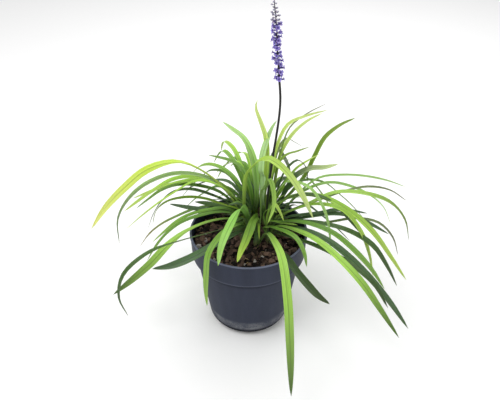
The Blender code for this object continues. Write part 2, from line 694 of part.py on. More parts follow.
def make_floret(collection, point, outward, up, radius, neck, is_open):
    """Add one floret: an open six-sided cup, or a small closed bud, on its neck."""
    builder = bmesh.new()
    across = outward.cross(up).normalized()
    upward = across.cross(outward)
    lobes = 6 if is_open else 4
    rim = []
    for lobe in range(lobes):
        angle = math.tau * lobe / lobes
        spoke = across * math.cos(angle) + upward * math.sin(angle)
        rim.append(builder.verts.new(point + spoke * radius))
    front = builder.verts.new(point + outward * radius * (0.4 if is_open else 1.2))
    back = builder.verts.new(point - outward * neck)
    for index, vert in enumerate(rim):
        after = rim[(index + 1) % len(rim)]
        builder.faces.new((vert, after, front))
        builder.faces.new((after, vert, back))
    object_from_bmesh("floret", builder, collection)


def make_flower_head():
    """Cover the rachis with florets by the golden angle: open ones below, small buds at the tip."""
    axis = spline(stalk_points(HEAD_COURSE), 24)
    head = make_rod("flower_head", axis, RACHIS_RADIUS, RACHIS_TIP_RADIUS, 8)
    florets = new_collection("florets")
    rng = random.Random(5)
    for index in range(FLORET_COUNT):
        share = 0.02 + 0.97 * (index + 0.5) / FLORET_COUNT
        place = share * (len(axis) - 1)
        low = min(int(place), len(axis) - 2)
        point = axis[low].lerp(axis[low + 1], place - low)
        tangent = (axis[low + 1] - axis[low]).normalized()
        angle = index * GOLDEN_ANGLE + rng.uniform(-0.2, 0.2)
        spoke = Matrix.Rotation(angle, 3, tangent) @ Vector((1, 0, 0))
        outward = (spoke - tangent * spoke.dot(tangent) + tangent * 0.25).normalized()
        is_open = share < OPEN_SHARE
        closing = max(0.0, (share - OPEN_SHARE) / (1.0 - OPEN_SHARE))
        reach = HEAD_RADIUS * (0.85 + rng.uniform(-0.12, 0.12)) * (1.0 - 0.62 * closing)
        radius = FLORET_RADIUS * rng.uniform(0.88, 1.05) if is_open else BUD_RADIUS * (1.1 - 0.35 * closing)
        rachis = RACHIS_RADIUS + (RACHIS_TIP_RADIUS - RACHIS_RADIUS) * share
        make_floret(florets, point + outward * reach, outward, tangent, radius, reach - rachis * 0.4, is_open)
    boolean(head, "UNION", florets)
    keep_largest_body(head)
    head.data.materials.append(new_material("violet_petals", (0.17, 0.11, 0.42), 0.7))
    return head


def main():
    """Build every piece of the potted plant."""
    for obj in list(bpy.data.objects):
        bpy.data.objects.remove(obj, do_unlink=True)
    make_pot()
    make_soil()
    green = new_material("leaf_green", (0.16, 0.35, 0.05), 0.5)
    for index in range(SHOOT_COUNT):
        make_tuft(index, green)
    make_flower_stalk()
    make_flower_head()


main()
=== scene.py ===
"""The looks of a potted liriope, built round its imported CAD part.

Units are metres with +Z up. The origin is the centre of the pot's underside, and azimuths are in
degrees: 0 points right (+X), 90 away from the viewer (+Y).

Leaves keep the courses of their solids, with two of them nearer the photo. One flat blade is made
and each leaf is a copy of it, scaled, laid along its course and dressed in its own green.
"""

import logging
import math
import random
from dataclasses import dataclass, field
from enum import Enum
from typing import Any, Callable, Iterable, Sequence

import bmesh
import bpy
import numpy as np
from mathutils import Matrix, Vector, noise


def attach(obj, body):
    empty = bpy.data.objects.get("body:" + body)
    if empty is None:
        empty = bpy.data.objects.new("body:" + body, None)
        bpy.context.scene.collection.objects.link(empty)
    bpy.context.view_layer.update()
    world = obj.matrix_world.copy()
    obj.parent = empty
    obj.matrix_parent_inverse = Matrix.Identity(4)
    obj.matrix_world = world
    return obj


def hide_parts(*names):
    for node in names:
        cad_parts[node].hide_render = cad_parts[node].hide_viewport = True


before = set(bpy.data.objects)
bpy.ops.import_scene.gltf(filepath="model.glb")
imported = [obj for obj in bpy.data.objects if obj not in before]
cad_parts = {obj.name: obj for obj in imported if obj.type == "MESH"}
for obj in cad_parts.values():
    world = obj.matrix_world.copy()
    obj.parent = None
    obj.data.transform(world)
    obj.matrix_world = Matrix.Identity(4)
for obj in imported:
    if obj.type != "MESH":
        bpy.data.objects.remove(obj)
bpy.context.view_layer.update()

LOG = logging.getLogger("liriope")
MM = 0.001
BODY = "root"
GOLDEN_ANGLE = math.radians(137.5)

Material = bpy.types.Material
Object = bpy.types.Object
Socket = bpy.types.NodeSocket
Span = tuple[float, float]
Colour = tuple[float, float, float, float]


# --- Colours and shader nodes ---


def linear(colour: str) -> Colour:
    """Turn an sRGB hex colour, as "#rrggbb", to linear light."""
    channels = [int(colour[place : place + 2], 16) / 255.0 for place in (1, 3, 5)]
    red, green, blue = [c / 12.92 if c <= 0.04045 else ((c + 0.055) / 1.055) ** 2.4 for c in channels]
    return red, green, blue, 1.0


class Finish:
    """A material that is put together node by node round one Principled shader."""

    def __init__(self, name: str) -> None:
        """Start the material, with the object's coordinates at hand."""
        self.material = bpy.data.materials.new(name)
        self.material.use_nodes = True
        self.tree = self.material.node_tree
        self.place = self.add("TexCoord", {}, "Object")

    def feed(self, node: bpy.types.Node, inputs: dict[str | int, Any]) -> None:
        """Set or link a node's inputs.

        Args:
            node: The node to feed.
            inputs: A value or a socket for each input, by its name or number.
        """
        for name, value in inputs.items():
            if isinstance(value, Socket):
                self.tree.links.new(value, node.inputs[name])
            else:
                node.inputs[name].default_value = value

    def add(
        self, kind: str, inputs: dict[str | int, Any], output: str | int = 0, **properties: Any
    ) -> Socket:
        """Add a node.

        Args:
            kind: The node's type name without its "ShaderNode" start.
            inputs: A value or a socket for each input.
            output: Which output to hand over.
            properties: The node's own settings.

        Returns:
            The output.
        """
        node = self.tree.nodes.new("ShaderNode" + kind)
        for name, value in properties.items():
            setattr(node, name, value)
        self.feed(node, inputs)
        return node.outputs[output]

    def height(self) -> Socket:
        """Read the height above the pot's underside."""
        return self.add("SeparateXYZ", {"Vector": self.place}, "Z")

    def attribute(self, name: str, output: str = "Fac") -> Socket:
        """Read an attribute of the mesh."""
        return self.add("Attribute", {}, output, attribute_name=name)

    def stretched(self, scale: tuple[float, float, float], vector: Socket | None = None) -> Socket:
        """Scale texture coordinates along each axis."""
        vector = self.place if vector is None else vector
        return self.add("Mapping", {"Scale": scale, "Vector": vector})

    def noise(self, scale: float, detail: float, vector: Socket | None = None, **inputs: float) -> Socket:
        """Add a noise texture, over the object's coordinates unless others are given."""
        vector = self.place if vector is None else vector
        return self.add("TexNoise", {"Scale": scale, "Detail": detail, "Vector": vector, **inputs})

    def maths(self, operation: str, *values: float | Socket, clamp: bool = False) -> Socket:
        """Work out one number from others."""
        return self.add("Math", dict(enumerate(values)), operation=operation, use_clamp=clamp)

    def spread(self, value: Socket, start: Span, end: Span = (0.0, 1.0), smooth: bool = False) -> Socket:
        """Map a value from one range to another, and hold it there."""
        ends = dict(zip(("From Min", "From Max", "To Min", "To Max"), (*start, *end)))
        kind = "SMOOTHSTEP" if smooth else "LINEAR"
        return self.add("MapRange", {"Value": value, **ends}, interpolation_type=kind)

    def ramp(self, value: Socket, *stops: tuple[float, str | float]) -> Socket:
        """Turn a value into a colour.

        Args:
            value: The value, from 0 to 1.
            stops: A place and a hex colour or a linear grey for each stop.

        Returns:
            The colour.
        """
        node = self.tree.nodes.new("ShaderNodeValToRGB")
        elements = node.color_ramp.elements
        while len(elements) < len(stops):
            elements.new(0.5)
        for element, (position, tint) in zip(elements, stops):
            element.position = position
            element.color = linear(tint) if isinstance(tint, str) else (tint, tint, tint, 1.0)
        self.feed(node, {"Fac": value})
        return node.outputs[0]

    def mix(self, share: float | Socket, first: Colour | Socket, second: Colour | Socket) -> Socket:
        """Mix a share of a second colour into a first, by the node's colour inputs and output."""
        return self.add("Mix", {0: share, 6: first, 7: second}, 2, data_type="RGBA")

    def bump(self, height: Socket, strength: float, depth: float) -> Socket:
        """Raise the surface by a height."""
        return self.add("Bump", {"Height": height, "Strength": strength, "Distance": depth})

    def done(self, inputs: dict[str, Any]) -> Material:
        """Feed the shader and hand the material over."""
        self.feed(self.tree.nodes["Principled BSDF"], inputs)
        return self.material


# --- Finishes ---


@dataclass(frozen=True)
class MouldedPolypropylene:
    """Injection-moulded recycled polypropylene, as nursery pots are made of.

    It is matt and slate-dark, with faint upright flow marks from the mould. Potting dust lies as
    a paler band over the foot. The foot and the hollow under the step are darkened by painted
    shade, with less specular there, and the lip and the step's edge get a painted highlight.
    """

    body: str = "#242a3b"
    flow: str = "#2b3143"
    dust: str = "#6f7176"
    # Painted highlight for the lip and the step's edge.
    painted_highlight: str = "#6b7083"
    # Painted shade for the hollow under the step and for the foot.
    painted_shade: str = "#0b0c10"
    roughness: float = 0.58
    dust_low: float = 18.0 * MM
    dust_high: float = 38.0 * MM
    step: float = 136.0 * MM
    lip: float = 175.4 * MM
    grain: float = 0.9 * MM

    def build(self) -> Material:
        """Make the pot's material.

        Returns:
            The material.
        """
        finish = Finish("slate_polypropylene_moulded")
        height = finish.height()
        marks = finish.noise(60.0, 3.0, finish.stretched((1.0, 1.0, 0.08)))
        colour = finish.ramp(marks, (0.35, self.body), (0.75, self.flow))
        middle = (self.dust_low + self.dust_high) / 2
        upper = finish.spread(height, (self.dust_high, middle), smooth=True)
        lower = finish.spread(height, (self.dust_low * 0.7, self.dust_low), smooth=True)
        specks = finish.noise(420.0, 5.0, Roughness=0.7)
        dusty = finish.spread(finish.maths("MULTIPLY", specks, finish.noise(45.0, 2.0)), (0.14, 0.36))
        dusty = finish.maths("MULTIPLY", finish.maths("MULTIPLY", upper, lower), dusty)
        colour = finish.mix(dusty, colour, linear(self.dust))
        # A painted highlight along the lip's top.
        lip = finish.spread(height, (self.lip, self.lip + 1.2 * MM), (0.0, 0.8))
        colour = finish.mix(lip, colour, linear(self.painted_highlight))
        # Round the step: a band of painted shade below it, and a thin painted highlight on the band's lower
        # edge above it.
        near_step = finish.spread(height, (self.step - 12.0 * MM, self.step + 6.0 * MM))
        hollow_stops = ((0.0, 0.0), (0.28, 0.45), (0.41, 0.85), (0.64, 0.85))
        edge = finish.ramp(near_step, *hollow_stops, (0.67, 0.0), (0.72, 0.3), (0.9, 0.0))
        under = finish.spread(height, (self.step, self.step - 0.4 * MM))
        tint = finish.mix(under, linear(self.painted_highlight), linear(self.painted_shade))
        colour = finish.mix(edge, colour, tint)
        # Painted shade over the foot; the specular is turned down wherever shade is painted.
        foot = finish.spread(height, (self.dust_low + 1.0 * MM, self.dust_low - 6.0 * MM), (0.0, 0.9))
        dark = finish.maths("MAXIMUM", finish.maths("MULTIPLY", edge, under), foot)
        return finish.done(
            {
                "Base Color": finish.mix(foot, colour, linear(self.painted_shade)),
                "Roughness": finish.spread(specks, (0.0, 1.0), (self.roughness - 0.08, self.roughness + 0.2)),
                "Specular IOR Level": finish.spread(dark, (0.0, 1.0), (0.3, 0.02)),
                "IOR": 1.49,
                "Normal": finish.bump(finish.noise(1.0 / self.grain, 2.0), 0.12, 0.3 * MM),
            }
        )


@dataclass(frozen=True)
class CompostedBark:
    """Composted pine bark: dark, crumbly and fibrous, and rough all over.

    Attributes:
        name: The finish's name.
        dark: The colour of its hollows and wet fibres, partly painted shade.
        light: The colour of its dry raised faces, partly painted highlight.
        grain: The pitch of its fibres.
        relief: The depth of its grain.
    """

    name: str
    dark: str
    light: str
    grain: float
    relief: float

    def build(self) -> Material:
        """Make the material, tinted for each chip by its "chip_tone".

        Returns:
            The material.
        """
        finish = Finish(self.name)
        fibres = finish.noise(1.0 / self.grain, 6.0, Roughness=0.65, Distortion=0.8)
        # The noise that raises the grain also colours it, dark in its hollows and light on its ridges: partly
        # its own tone, partly painted shade and highlight.
        tone = finish.maths("MULTIPLY_ADD", fibres, 0.55, finish.attribute("chip_tone"))
        colour = finish.ramp(tone, (0.3, self.dark), (0.95, self.light))
        matt = {"Roughness": 0.86, "Specular IOR Level": 0.3}
        return finish.done({"Base Color": colour, "Normal": finish.bump(fibres, 0.8, self.relief), **matt})


@dataclass(frozen=True)
class LeafSkin:
    """A waxy leaf surface with fine veins along the blade, green by each leaf's "leaf_colour".

    The real veins are 0.7 mm apart, too fine for the render, so they are drawn at twice that.

    Attributes:
        name: The finish's name.
        wash: The colour of the bloom over the green.
        wash_share: How much of the wash shows.
        roughness: The wax's roughness.
        vein_depth: The depth of the veins.
    """

    name: str
    wash: str
    wash_share: float
    roughness: float
    vein_depth: float
    veins: int = 7

    def build(self) -> Material:
        """Make the material for one face of the blade.

        Returns:
            The material.
        """
        finish = Finish(self.name)
        across = finish.add("UVMap", {}, uv_map="UVMap")
        wave = {"Scale": self.veins * math.tau / 20.0, "Vector": across}
        bands = finish.add("TexWave", wave, 1, wave_type="BANDS", bands_direction="X")
        streaks = finish.noise(1.0, 3.0, finish.stretched((14.0, 2.5, 1.0), across))
        side = finish.add("SeparateXYZ", {"Vector": across}, "X")
        # The middle of the blade is darkened: painted shade in the midrib groove.
        midrib = finish.ramp(side, (0.38, 1.0), (0.47, 0.8), (0.53, 0.8), (0.62, 1.0))
        shade = finish.spread(bands, (0.0, 1.0), (0.8, 1.1))
        mottle = finish.spread(streaks, (0.3, 0.7), (0.72, 1.2))
        value = finish.maths("MULTIPLY", finish.maths("MULTIPLY", shade, mottle), midrib)
        wax = finish.spread(streaks, (0.0, 1.0), (self.roughness - 0.05, self.roughness + 0.15))
        green = finish.attribute("leaf_colour", "Color")
        veined = finish.add("VectorMath", {0: green, "Scale": value}, operation="SCALE")
        return finish.done(
            {
                "Base Color": finish.mix(self.wash_share, veined, linear(self.wash)),
                "Roughness": wax,
                "Normal": finish.bump(finish.maths("ADD", bands, midrib), 0.5, self.vein_depth),
                "Subsurface Weight": 0.3,
                "Subsurface Radius": (0.9, 1.0, 0.3),
                "Subsurface Scale": 1.2 * MM,
                "IOR": 1.42,
            }
        )


@dataclass(frozen=True)
class StemSkin:
    """Living stem tissue, streaked along its length by its fibres.

    Attributes:
        name: The finish's name.
        low: The colour at the foot.
        high: The colour higher up.
        foot: The height where the low colour ends.
        top: The height where the high colour is full.
        roughness: The surface's roughness.
    """

    name: str
    low: str
    high: str
    foot: float
    top: float
    roughness: float

    def build(self) -> Material:
        """Make the material.

        Returns:
            The material.
        """
        finish = Finish(self.name)
        rise = finish.spread(finish.height(), (self.foot, self.top))
        fibres = finish.noise(900.0, 3.0, finish.stretched((1.0, 1.0, 0.06)))
        share = finish.maths("ADD", rise, finish.maths("MULTIPLY_ADD", fibres, 0.5, -0.25), clamp=True)
        colour = finish.ramp(share, (0.0, self.low), (1.0, self.high))
        relief = finish.bump(fibres, 0.5, 0.2 * MM)
        return finish.done({"Base Color": colour, "Normal": relief, "Roughness": self.roughness})


@dataclass(frozen=True)
class PetalSkin:
    """Soft velvety petal tissue, paler towards the tips by each vertex's "petal_share": partly its own
    colour, partly painted shade and highlight.

    Attributes:
        name: The finish's name.
        deep: The colour at the petals' feet and folds, partly painted shade.
        pale: The colour at their tips, partly painted highlight.
        sheen: How much velvet sheen shows.
    """

    name: str
    deep: str
    pale: str
    sheen: float

    def build(self) -> Material:
        """Make the material.

        Returns:
            The material.
        """
        finish = Finish(self.name)
        cells = finish.noise(700.0, 3.0)
        spread = finish.maths("MULTIPLY_ADD", cells, 0.4, -0.2)
        share = finish.maths("ADD", finish.attribute("petal_share"), spread, clamp=True)
        return finish.done(
            {
                "Base Color": finish.ramp(share, (0.05, self.deep), (0.95, self.pale)),
                "Normal": finish.bump(cells, 0.3, 0.1 * MM),
                "Roughness": 0.6,
                "Sheen Weight": self.sheen,
                "Subsurface Weight": 0.2,
                "Subsurface Scale": 0.8 * MM,
            }
        )


# --- Operators, as by hand ---


def deselect_all() -> None:
    """Deselect every object, because an operator acts on all that is selected."""
    bpy.ops.object.select_all(action="DESELECT")


def primitive(add: Callable[..., Any], name: str, **settings: Any) -> Object:
    """Add a primitive and apply its place.

    Args:
        add: The primitive's operator.
        name: The object's name.
        settings: The operator's settings.

    Returns:
        The object, at the origin.
    """
    deselect_all()
    add(**settings)
    obj = bpy.context.active_object
    obj.name = obj.data.name = name
    bpy.ops.object.transform_apply(location=True, rotation=True, scale=True)
    return obj


def select_only(objects: Sequence[Object]) -> None:
    """Select some objects alone, with the first one active."""
    deselect_all()
    for obj in objects:
        obj.select_set(True)
    bpy.context.view_layer.objects.active = objects[0]


def apply_modifier(obj: Object, kind: str, **settings: Any) -> None:
    """Add a modifier and apply it.

    Args:
        obj: The object to change.
        kind: The modifier's type.
        settings: The modifier's values by name.
    """
    select_only([obj])
    modifier = obj.modifiers.new(kind.title(), kind)
    for name, value in settings.items():
        setattr(modifier, name, value)
    bpy.ops.object.modifier_apply(modifier=modifier.name)


def placed_copy(template: Object, matrix: Matrix) -> Object:
    """Copy a template with its own mesh.

    Args:
        template: The object to copy.
        matrix: Where the copy's mesh goes.

    Returns:
        The copy.
    """
    obj = template.copy()
    obj.data = template.data.copy()
    bpy.context.collection.objects.link(obj)
    obj.data.transform(matrix)
    return obj


def joined(objects: Sequence[Object], name: str) -> Object:
    """Join objects into one piece.

    Args:
        objects: The objects to join.
        name: The piece's name.

    Returns:
        The joined piece, at the origin.
    """
    select_only(objects)
    bpy.ops.object.join()
    obj = bpy.context.active_object
    bpy.ops.object.transform_apply(location=True, rotation=True, scale=True)
    obj.name = obj.data.name = name
    return obj


def shade_smooth(obj: Object, angle: float) -> None:
    """Shade an object smooth, with edges over an angle in degrees kept sharp."""
    select_only([obj])
    bpy.ops.object.shade_smooth_by_angle(angle=math.radians(angle))


def dress(obj: Object, *materials: Material | None) -> None:
    """Give an object its materials, in slot order."""
    obj.data.materials.clear()
    for material in materials:
        obj.data.materials.append(material)


def set_attribute(obj: Object, name: str, value: float | Sequence[float]) -> None:
    """Store a number for each vertex.

    Args:
        obj: The object whose mesh gets the attribute.
        name: The attribute's name.
        value: One number for all vertices, or one for each.
    """
    numbers = np.broadcast_to(np.asarray(value, dtype=np.float32), len(obj.data.vertices))
    obj.data.attributes.new(name, "FLOAT", "POINT").data.foreach_set("value", numbers.copy())


def settle(piece: Object, slot: str, *nodes: str) -> Object:
    """Tie a finished piece to the frame.

    Args:
        piece: The finished piece.
        slot: The name of a material slot; not used.
        nodes: The CAD nodes that it stands for.

    Returns:
        The piece.
    """
    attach(piece, BODY)
    if nodes:
        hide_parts(*nodes)
    LOG.info("%s: %d faces", piece.name, len(piece.data.polygons))
    return piece


def remove(objects: Iterable[Object]) -> None:
    """Delete templates that have served."""
    for obj in objects:
        bpy.data.objects.remove(obj, do_unlink=True)


def arc(centre: Span, radius: float, start: float, end: float, steps: int) -> list[Span]:
    """List points on an arc of a turned profile.

    Args:
        centre: The arc's middle as (r, z).
        radius: Its radius.
        start: Its first angle in degrees, 0 outwards and 90 up.
        end: Its last angle.
        steps: How many spans it has.

    Returns:
        The points as (r, z).
    """
    angles = [math.radians(start + (end - start) * step / steps) for step in range(steps + 1)]
    return [(centre[0] + radius * math.cos(angle), centre[1] + radius * math.sin(angle)) for angle in angles]


def turn_profile(name: str, profile: Sequence[Span], sides: int) -> Object:
    """Raise a turned piece from a disc by extruding and resizing it ring after ring.

    Args:
        name: The piece's name.
        profile: Rings as (r, z) in metres, from the first disc to the last.
        sides: How many sides the piece has.

    Returns:
        The closed piece.
    """
    radius, height = profile[0]
    disc = {"vertices": sides, "radius": radius, "fill_type": "NGON", "location": (0, 0, height)}
    obj = primitive(bpy.ops.mesh.primitive_circle_add, name, **disc)
    bpy.ops.object.mode_set(mode="EDIT")
    bpy.ops.mesh.select_all(action="SELECT")
    for next_radius, next_height in profile[1:]:
        bpy.ops.mesh.extrude_region_move(TRANSFORM_OT_translate={"value": (0, 0, next_height - height)})
        scale = next_radius / radius
        bpy.ops.transform.resize(value=(scale, scale, 1), center_override=(0, 0, next_height))
        radius, height = next_radius, next_height
    bpy.ops.mesh.select_all(action="SELECT")
    bpy.ops.mesh.normals_make_consistent(inside=False)
    bpy.ops.object.mode_set(mode="OBJECT")
    return obj


# --- Courses of leaves and stalk, as in the CAD part ---


@dataclass(frozen=True)
class Crown:
    """The plant's crown: a ring of leafy shoots round one middle point, each in its own wedge."""

    middle: Span = (16.0 * MM, 18.0 * MM)
    shoots: int = 9
    wedge_start: float = 5.0
    ring: float = 30.0 * MM
    sheath_radius: float = 5.6 * MM
    sheath_stretch: float = 1.9
    sheath_foot: float = 131.0 * MM
    sheath_top: float = 176.0 * MM
    root_height: float = 158.0 * MM
    collar_height: float = 169.0 * MM
    wedge_clearance: float = 0.25 * MM
    stalk_room: float = 1.8 * MM
    soil_level: float = 157.0 * MM
    soil_clearance: float = 9.0 * MM
    rim_radius: float = 95.0 * MM
    rim_height: float = 177.0 * MM
    rim_clearance: float = 5.0 * MM
    rim_inside: float = 11.0 * MM
    rim_outside: float = 4.0 * MM
    crossing_height: float = 262.0 * MM

    def shoot_azimuth(self, index: int) -> float:
        """Give the middle azimuth of a shoot's wedge."""
        return self.wedge_start + 360.0 * (index + 0.5) / self.shoots

    def shoot_index(self, azimuth: float) -> int:
        """Say which shoot's wedge holds an azimuth."""
        return int(((azimuth - self.wedge_start) % 360.0) // (360.0 / self.shoots))

    def point(self, azimuth: float, reach: float, height: float) -> Vector:
        """Give the point at an azimuth, reach and height from the crown's middle."""
        x, y = reach * math.cos(math.radians(azimuth)), reach * math.sin(math.radians(azimuth))
        return Vector((self.middle[0] + x, self.middle[1] + y, height))

    def keep_in_wedge(self, point: Vector, index: int, room: float) -> Vector:
        """Move a point sideways into its shoot's wedge.

        Args:
            point: The point to move.
            index: The shoot's number.
            room: The half width that has to fit.

        Returns:
            The moved point, at the same height.
        """
        half = math.radians(180.0 / self.shoots)
        turn = math.radians(self.shoot_azimuth(index))
        along = Vector((math.cos(turn), math.sin(turn)))
        across = Vector((-along.y, along.x))
        flat = Vector((point.x - self.middle[0], point.y - self.middle[1]))
        low = self.wedge_clearance + (self.stalk_room if index == 0 else 0.0)
        high = self.wedge_clearance + (self.stalk_room if index == self.shoots - 1 else 0.0)
        u = max(flat.dot(along), (2 * room + low + high) / (2 * math.sin(half)))
        v = min(flat.dot(across), u * math.tan(half) - (room + high) / math.cos(half))
        v = max(v, (room + low) / math.cos(half) - u * math.tan(half))
        flat = along * u + across * v
        return Vector((self.middle[0] + flat.x, self.middle[1] + flat.y, point.z))

    def lift_over_pot(self, points: list[Vector]) -> None:
        """Raise stations of a course in place, where it would touch the rim or the soil."""
        for _ in range(4):
            for a, b in zip(points[1:], points[2:]):
                lack = 0.0
                for step in range(9):
                    sample = a.lerp(b, step / 8)
                    radius = sample.xy.length
                    if radius < self.rim_radius - self.rim_inside:
                        lack = max(lack, self.soil_level + self.soil_clearance - sample.z)
                    elif radius < self.rim_radius + self.rim_outside:
                        lack = max(lack, self.rim_height + self.rim_clearance - sample.z)
                a.z += lack
                b.z += lack


CROWN = Crown()


def spline(points: Sequence[Vector], count: int) -> list[Vector]:
    """Read points at even arc length from a Catmull-Rom curve.

    Args:
        points: The curve's through-points.
        count: How many spans the result has.

    Returns:
        count + 1 points.
    """
    ends = [2 * points[0] - points[1], *points, 2 * points[-1] - points[-2]]
    fine = []
    for a, b, c, d in zip(ends, ends[1:], ends[2:], ends[3:]):
        for step in range(12):
            t = step / 12
            curve = (2 * a - 5 * b + 4 * c - d) * t * t + (3 * b - a - 3 * c + d) * t**3
            fine.append(0.5 * (2 * b + (c - a) * t + curve))
    fine.append(points[-1].copy())
    lengths = [0.0]
    for a, b in zip(fine, fine[1:]):
        lengths.append(lengths[-1] + (b - a).length)
    result = []
    place = 0
    for index in range(count + 1):
        target = lengths[-1] * index / count
        while place < len(fine) - 2 and lengths[place + 1] < target:
            place += 1
        run = lengths[place + 1] - lengths[place]
        share = (target - lengths[place]) / run if run else 0.0
        result.append(fine[place].lerp(fine[place + 1], min(1.0, share)))
    return result


# --- Leaves ---

# ROOT_SHADE darkens every green at the leaf's root: painted shade deep in the crown.
ROOT_SHADE = 0.6
GREEN_FROM = 0.4
GREEN_TO = 0.55


class Tone(Enum):
    """The greens of the leaves, each from its root over its middle to its tip: partly their own, partly
    painted shade and highlight.
    """

    PALE_LIME = ("#5f8c30", "#c0dc66", "#dcee96")
    ARCHED = ("#36541a", "#a6cc42", "#daec9a")
    LIME = ("#4a7a28", "#9cc846", "#c2dc66")
    YELLOW_LIME = ("#4c7430", "#bcd64e", "#e2e680")
    FRESH = ("#46742a", "#80b042", "#9cc450")
    LONG_LIME = ("#4c7c2a", "#a0cc54", "#3e5c1c")
    MINT = ("#44702c", "#9cc868", "#b8dc8c")
    BRIGHT_MINT = ("#5c8c4c", "#c6eca4", "#b0d888")
    MINT_TO_DARK = ("#4f7c3c", "#a8cc80", "#465c2c")
    MID = ("#3c6622", "#6a9836", "#80a848")
    OLIVE = ("#5c8c2a", "#86ac2c", "#84a02c")
    DARK = ("#38602c", "#446828", "#34501f")
    DARK_TO_LIME = ("#3c642c", "#80ac3c", "#bcdc52")
    DARK_TO_PALE = ("#3a5e28", "#325420", "#d4e8a0")
    VERY_DARK = ("#40663a", "#34501f", "#30421e")
    BLUE_GREEN = ("#42643a", "#4a6a40", "#45603c")
    LIME_TO_OLIVE = ("#7aa844", "#a2c858", "#5c6832")
    GREY_GREEN = ("#5c8046", "#7c9456", "#76745c")
    GREY_TIPPED = ("#6f9444", "#93b45a", "#8a8474")
    HANGING = ("#3c5c20", "#5c8428", "#b8e068")
    LEAFY_LIME = ("#3f6c2a", "#84bc4c", "#a8d870")
    DRY_TIPPED = ("#4a7430", "#7a9c4a", "#8e7648")

    def colour_at(self, share: float) -> np.ndarray:
        """Give the linear colour at a share of the leaf's length."""
        root, middle, tip = (np.array(linear(name)) for name in self.value)
        root = root * ROOT_SHADE
        if share < GREEN_FROM:
            return root + (middle - root) * share / GREEN_FROM
        return middle + (tip - middle) * max(0.0, (share - GREEN_TO) / (1.0 - GREEN_TO))


@dataclass(frozen=True)
class Leaf:
    """One strap-like leaf.

    Attributes:
        azimuth: Its direction from the crown's middle, in degrees.
        width: Its widest place in mm.
        course: The reach and the height in mm of each of its through-points, in turn.
        roll: How far the blade turns about its own length by its tip, in degrees.
        tone: Its greens.
        root_roll: How far it is turned at its root.
        bends: The azimuth of each through-point, where the leaf bends sideways.
    """

    azimuth: float
    width: float
    course: tuple[float, ...]
    roll: float
    tone: Tone
    root_roll: float = 0.0
    bends: tuple[float, ...] = ()

    def half_width(self, share: float) -> float:
        """Give the solid's half width at a share of its length."""
        foot, widest, taper_from, taper_span = 0.42, 0.45, 0.62, 0.385
        root = foot + (1.0 - foot) * min(1.0, share / widest)
        tip = math.sqrt(max(0.0, 1.0 - max(0.0, (share - taper_from) / taper_span) ** 2.2))
        return self.width * MM / 2 * root * max(0.1, tip)

    def roll_at(self, share: float) -> float:
        """Give how far the blade is rolled at a share of its length, in degrees."""
        if not self.root_roll:
            return self.roll * share
        turn_from, turn_span = 0.34, 0.34
        turned = min(1.0, max(0.0, (share - turn_from) / turn_span))
        return self.root_roll + (self.roll - self.root_roll) * turned * turned * (3.0 - 2.0 * turned)

    @property
    def root_azimuth(self) -> float:
        """Say where the first through-point lies, which decides the shoot that it grows from."""
        return self.bends[0] if self.bends else self.azimuth

    def steepness(self) -> float:
        """Say how steeply the leaf leaves the crown."""
        reach, height = self.course[:2]
        return math.atan2(height * MM - CROWN.collar_height, reach * MM)

    def stations(self, index: int, rank: float, segments: int, steps: int) -> list[Vector]:
        """Lay the leaf's course as its solid has it, then smooth it.

        Args:
            index: The number of its shoot.
            rank: Its place in the shoot's fan, 0 for the innermost leaf and 1 for the outermost.
            segments: How many straight spans its solid has.
            steps: How many spans the result has.

        Returns:
            The stations from root to tip.
        """
        middle = CROWN.shoot_azimuth(index)
        reach = CROWN.ring + (rank * 2.0 - 1.0) * CROWN.sheath_radius * (CROWN.sheath_stretch - 0.75)
        aside = (self.root_azimuth - middle + 180.0) % 360.0 - 180.0
        nearest = reach * 0.5 + rank * 4.0 * MM
        points = [
            CROWN.point(middle + aside * 0.25, reach, CROWN.root_height),
            CROWN.point(middle + aside * 0.32, reach + 0.5 * MM, CROWN.collar_height),
        ]
        reaches, heights = self.course[::2], self.course[1::2]
        for azimuth, out, height in zip(self.bends or [self.azimuth] * len(reaches), reaches, heights):
            points.append(CROWN.point(azimuth, max(out * MM, nearest), height * MM))
        stations = spline(points, segments)
        CROWN.lift_over_pot(stations)
        for place, station in enumerate(stations):
            if self.bends and station.z > CROWN.crossing_height:
                break
            room = self.half_width(place / segments) + rank * 0.8 * MM
            stations[place] = CROWN.keep_in_wedge(station, index, room)
        return spline(stations, steps)


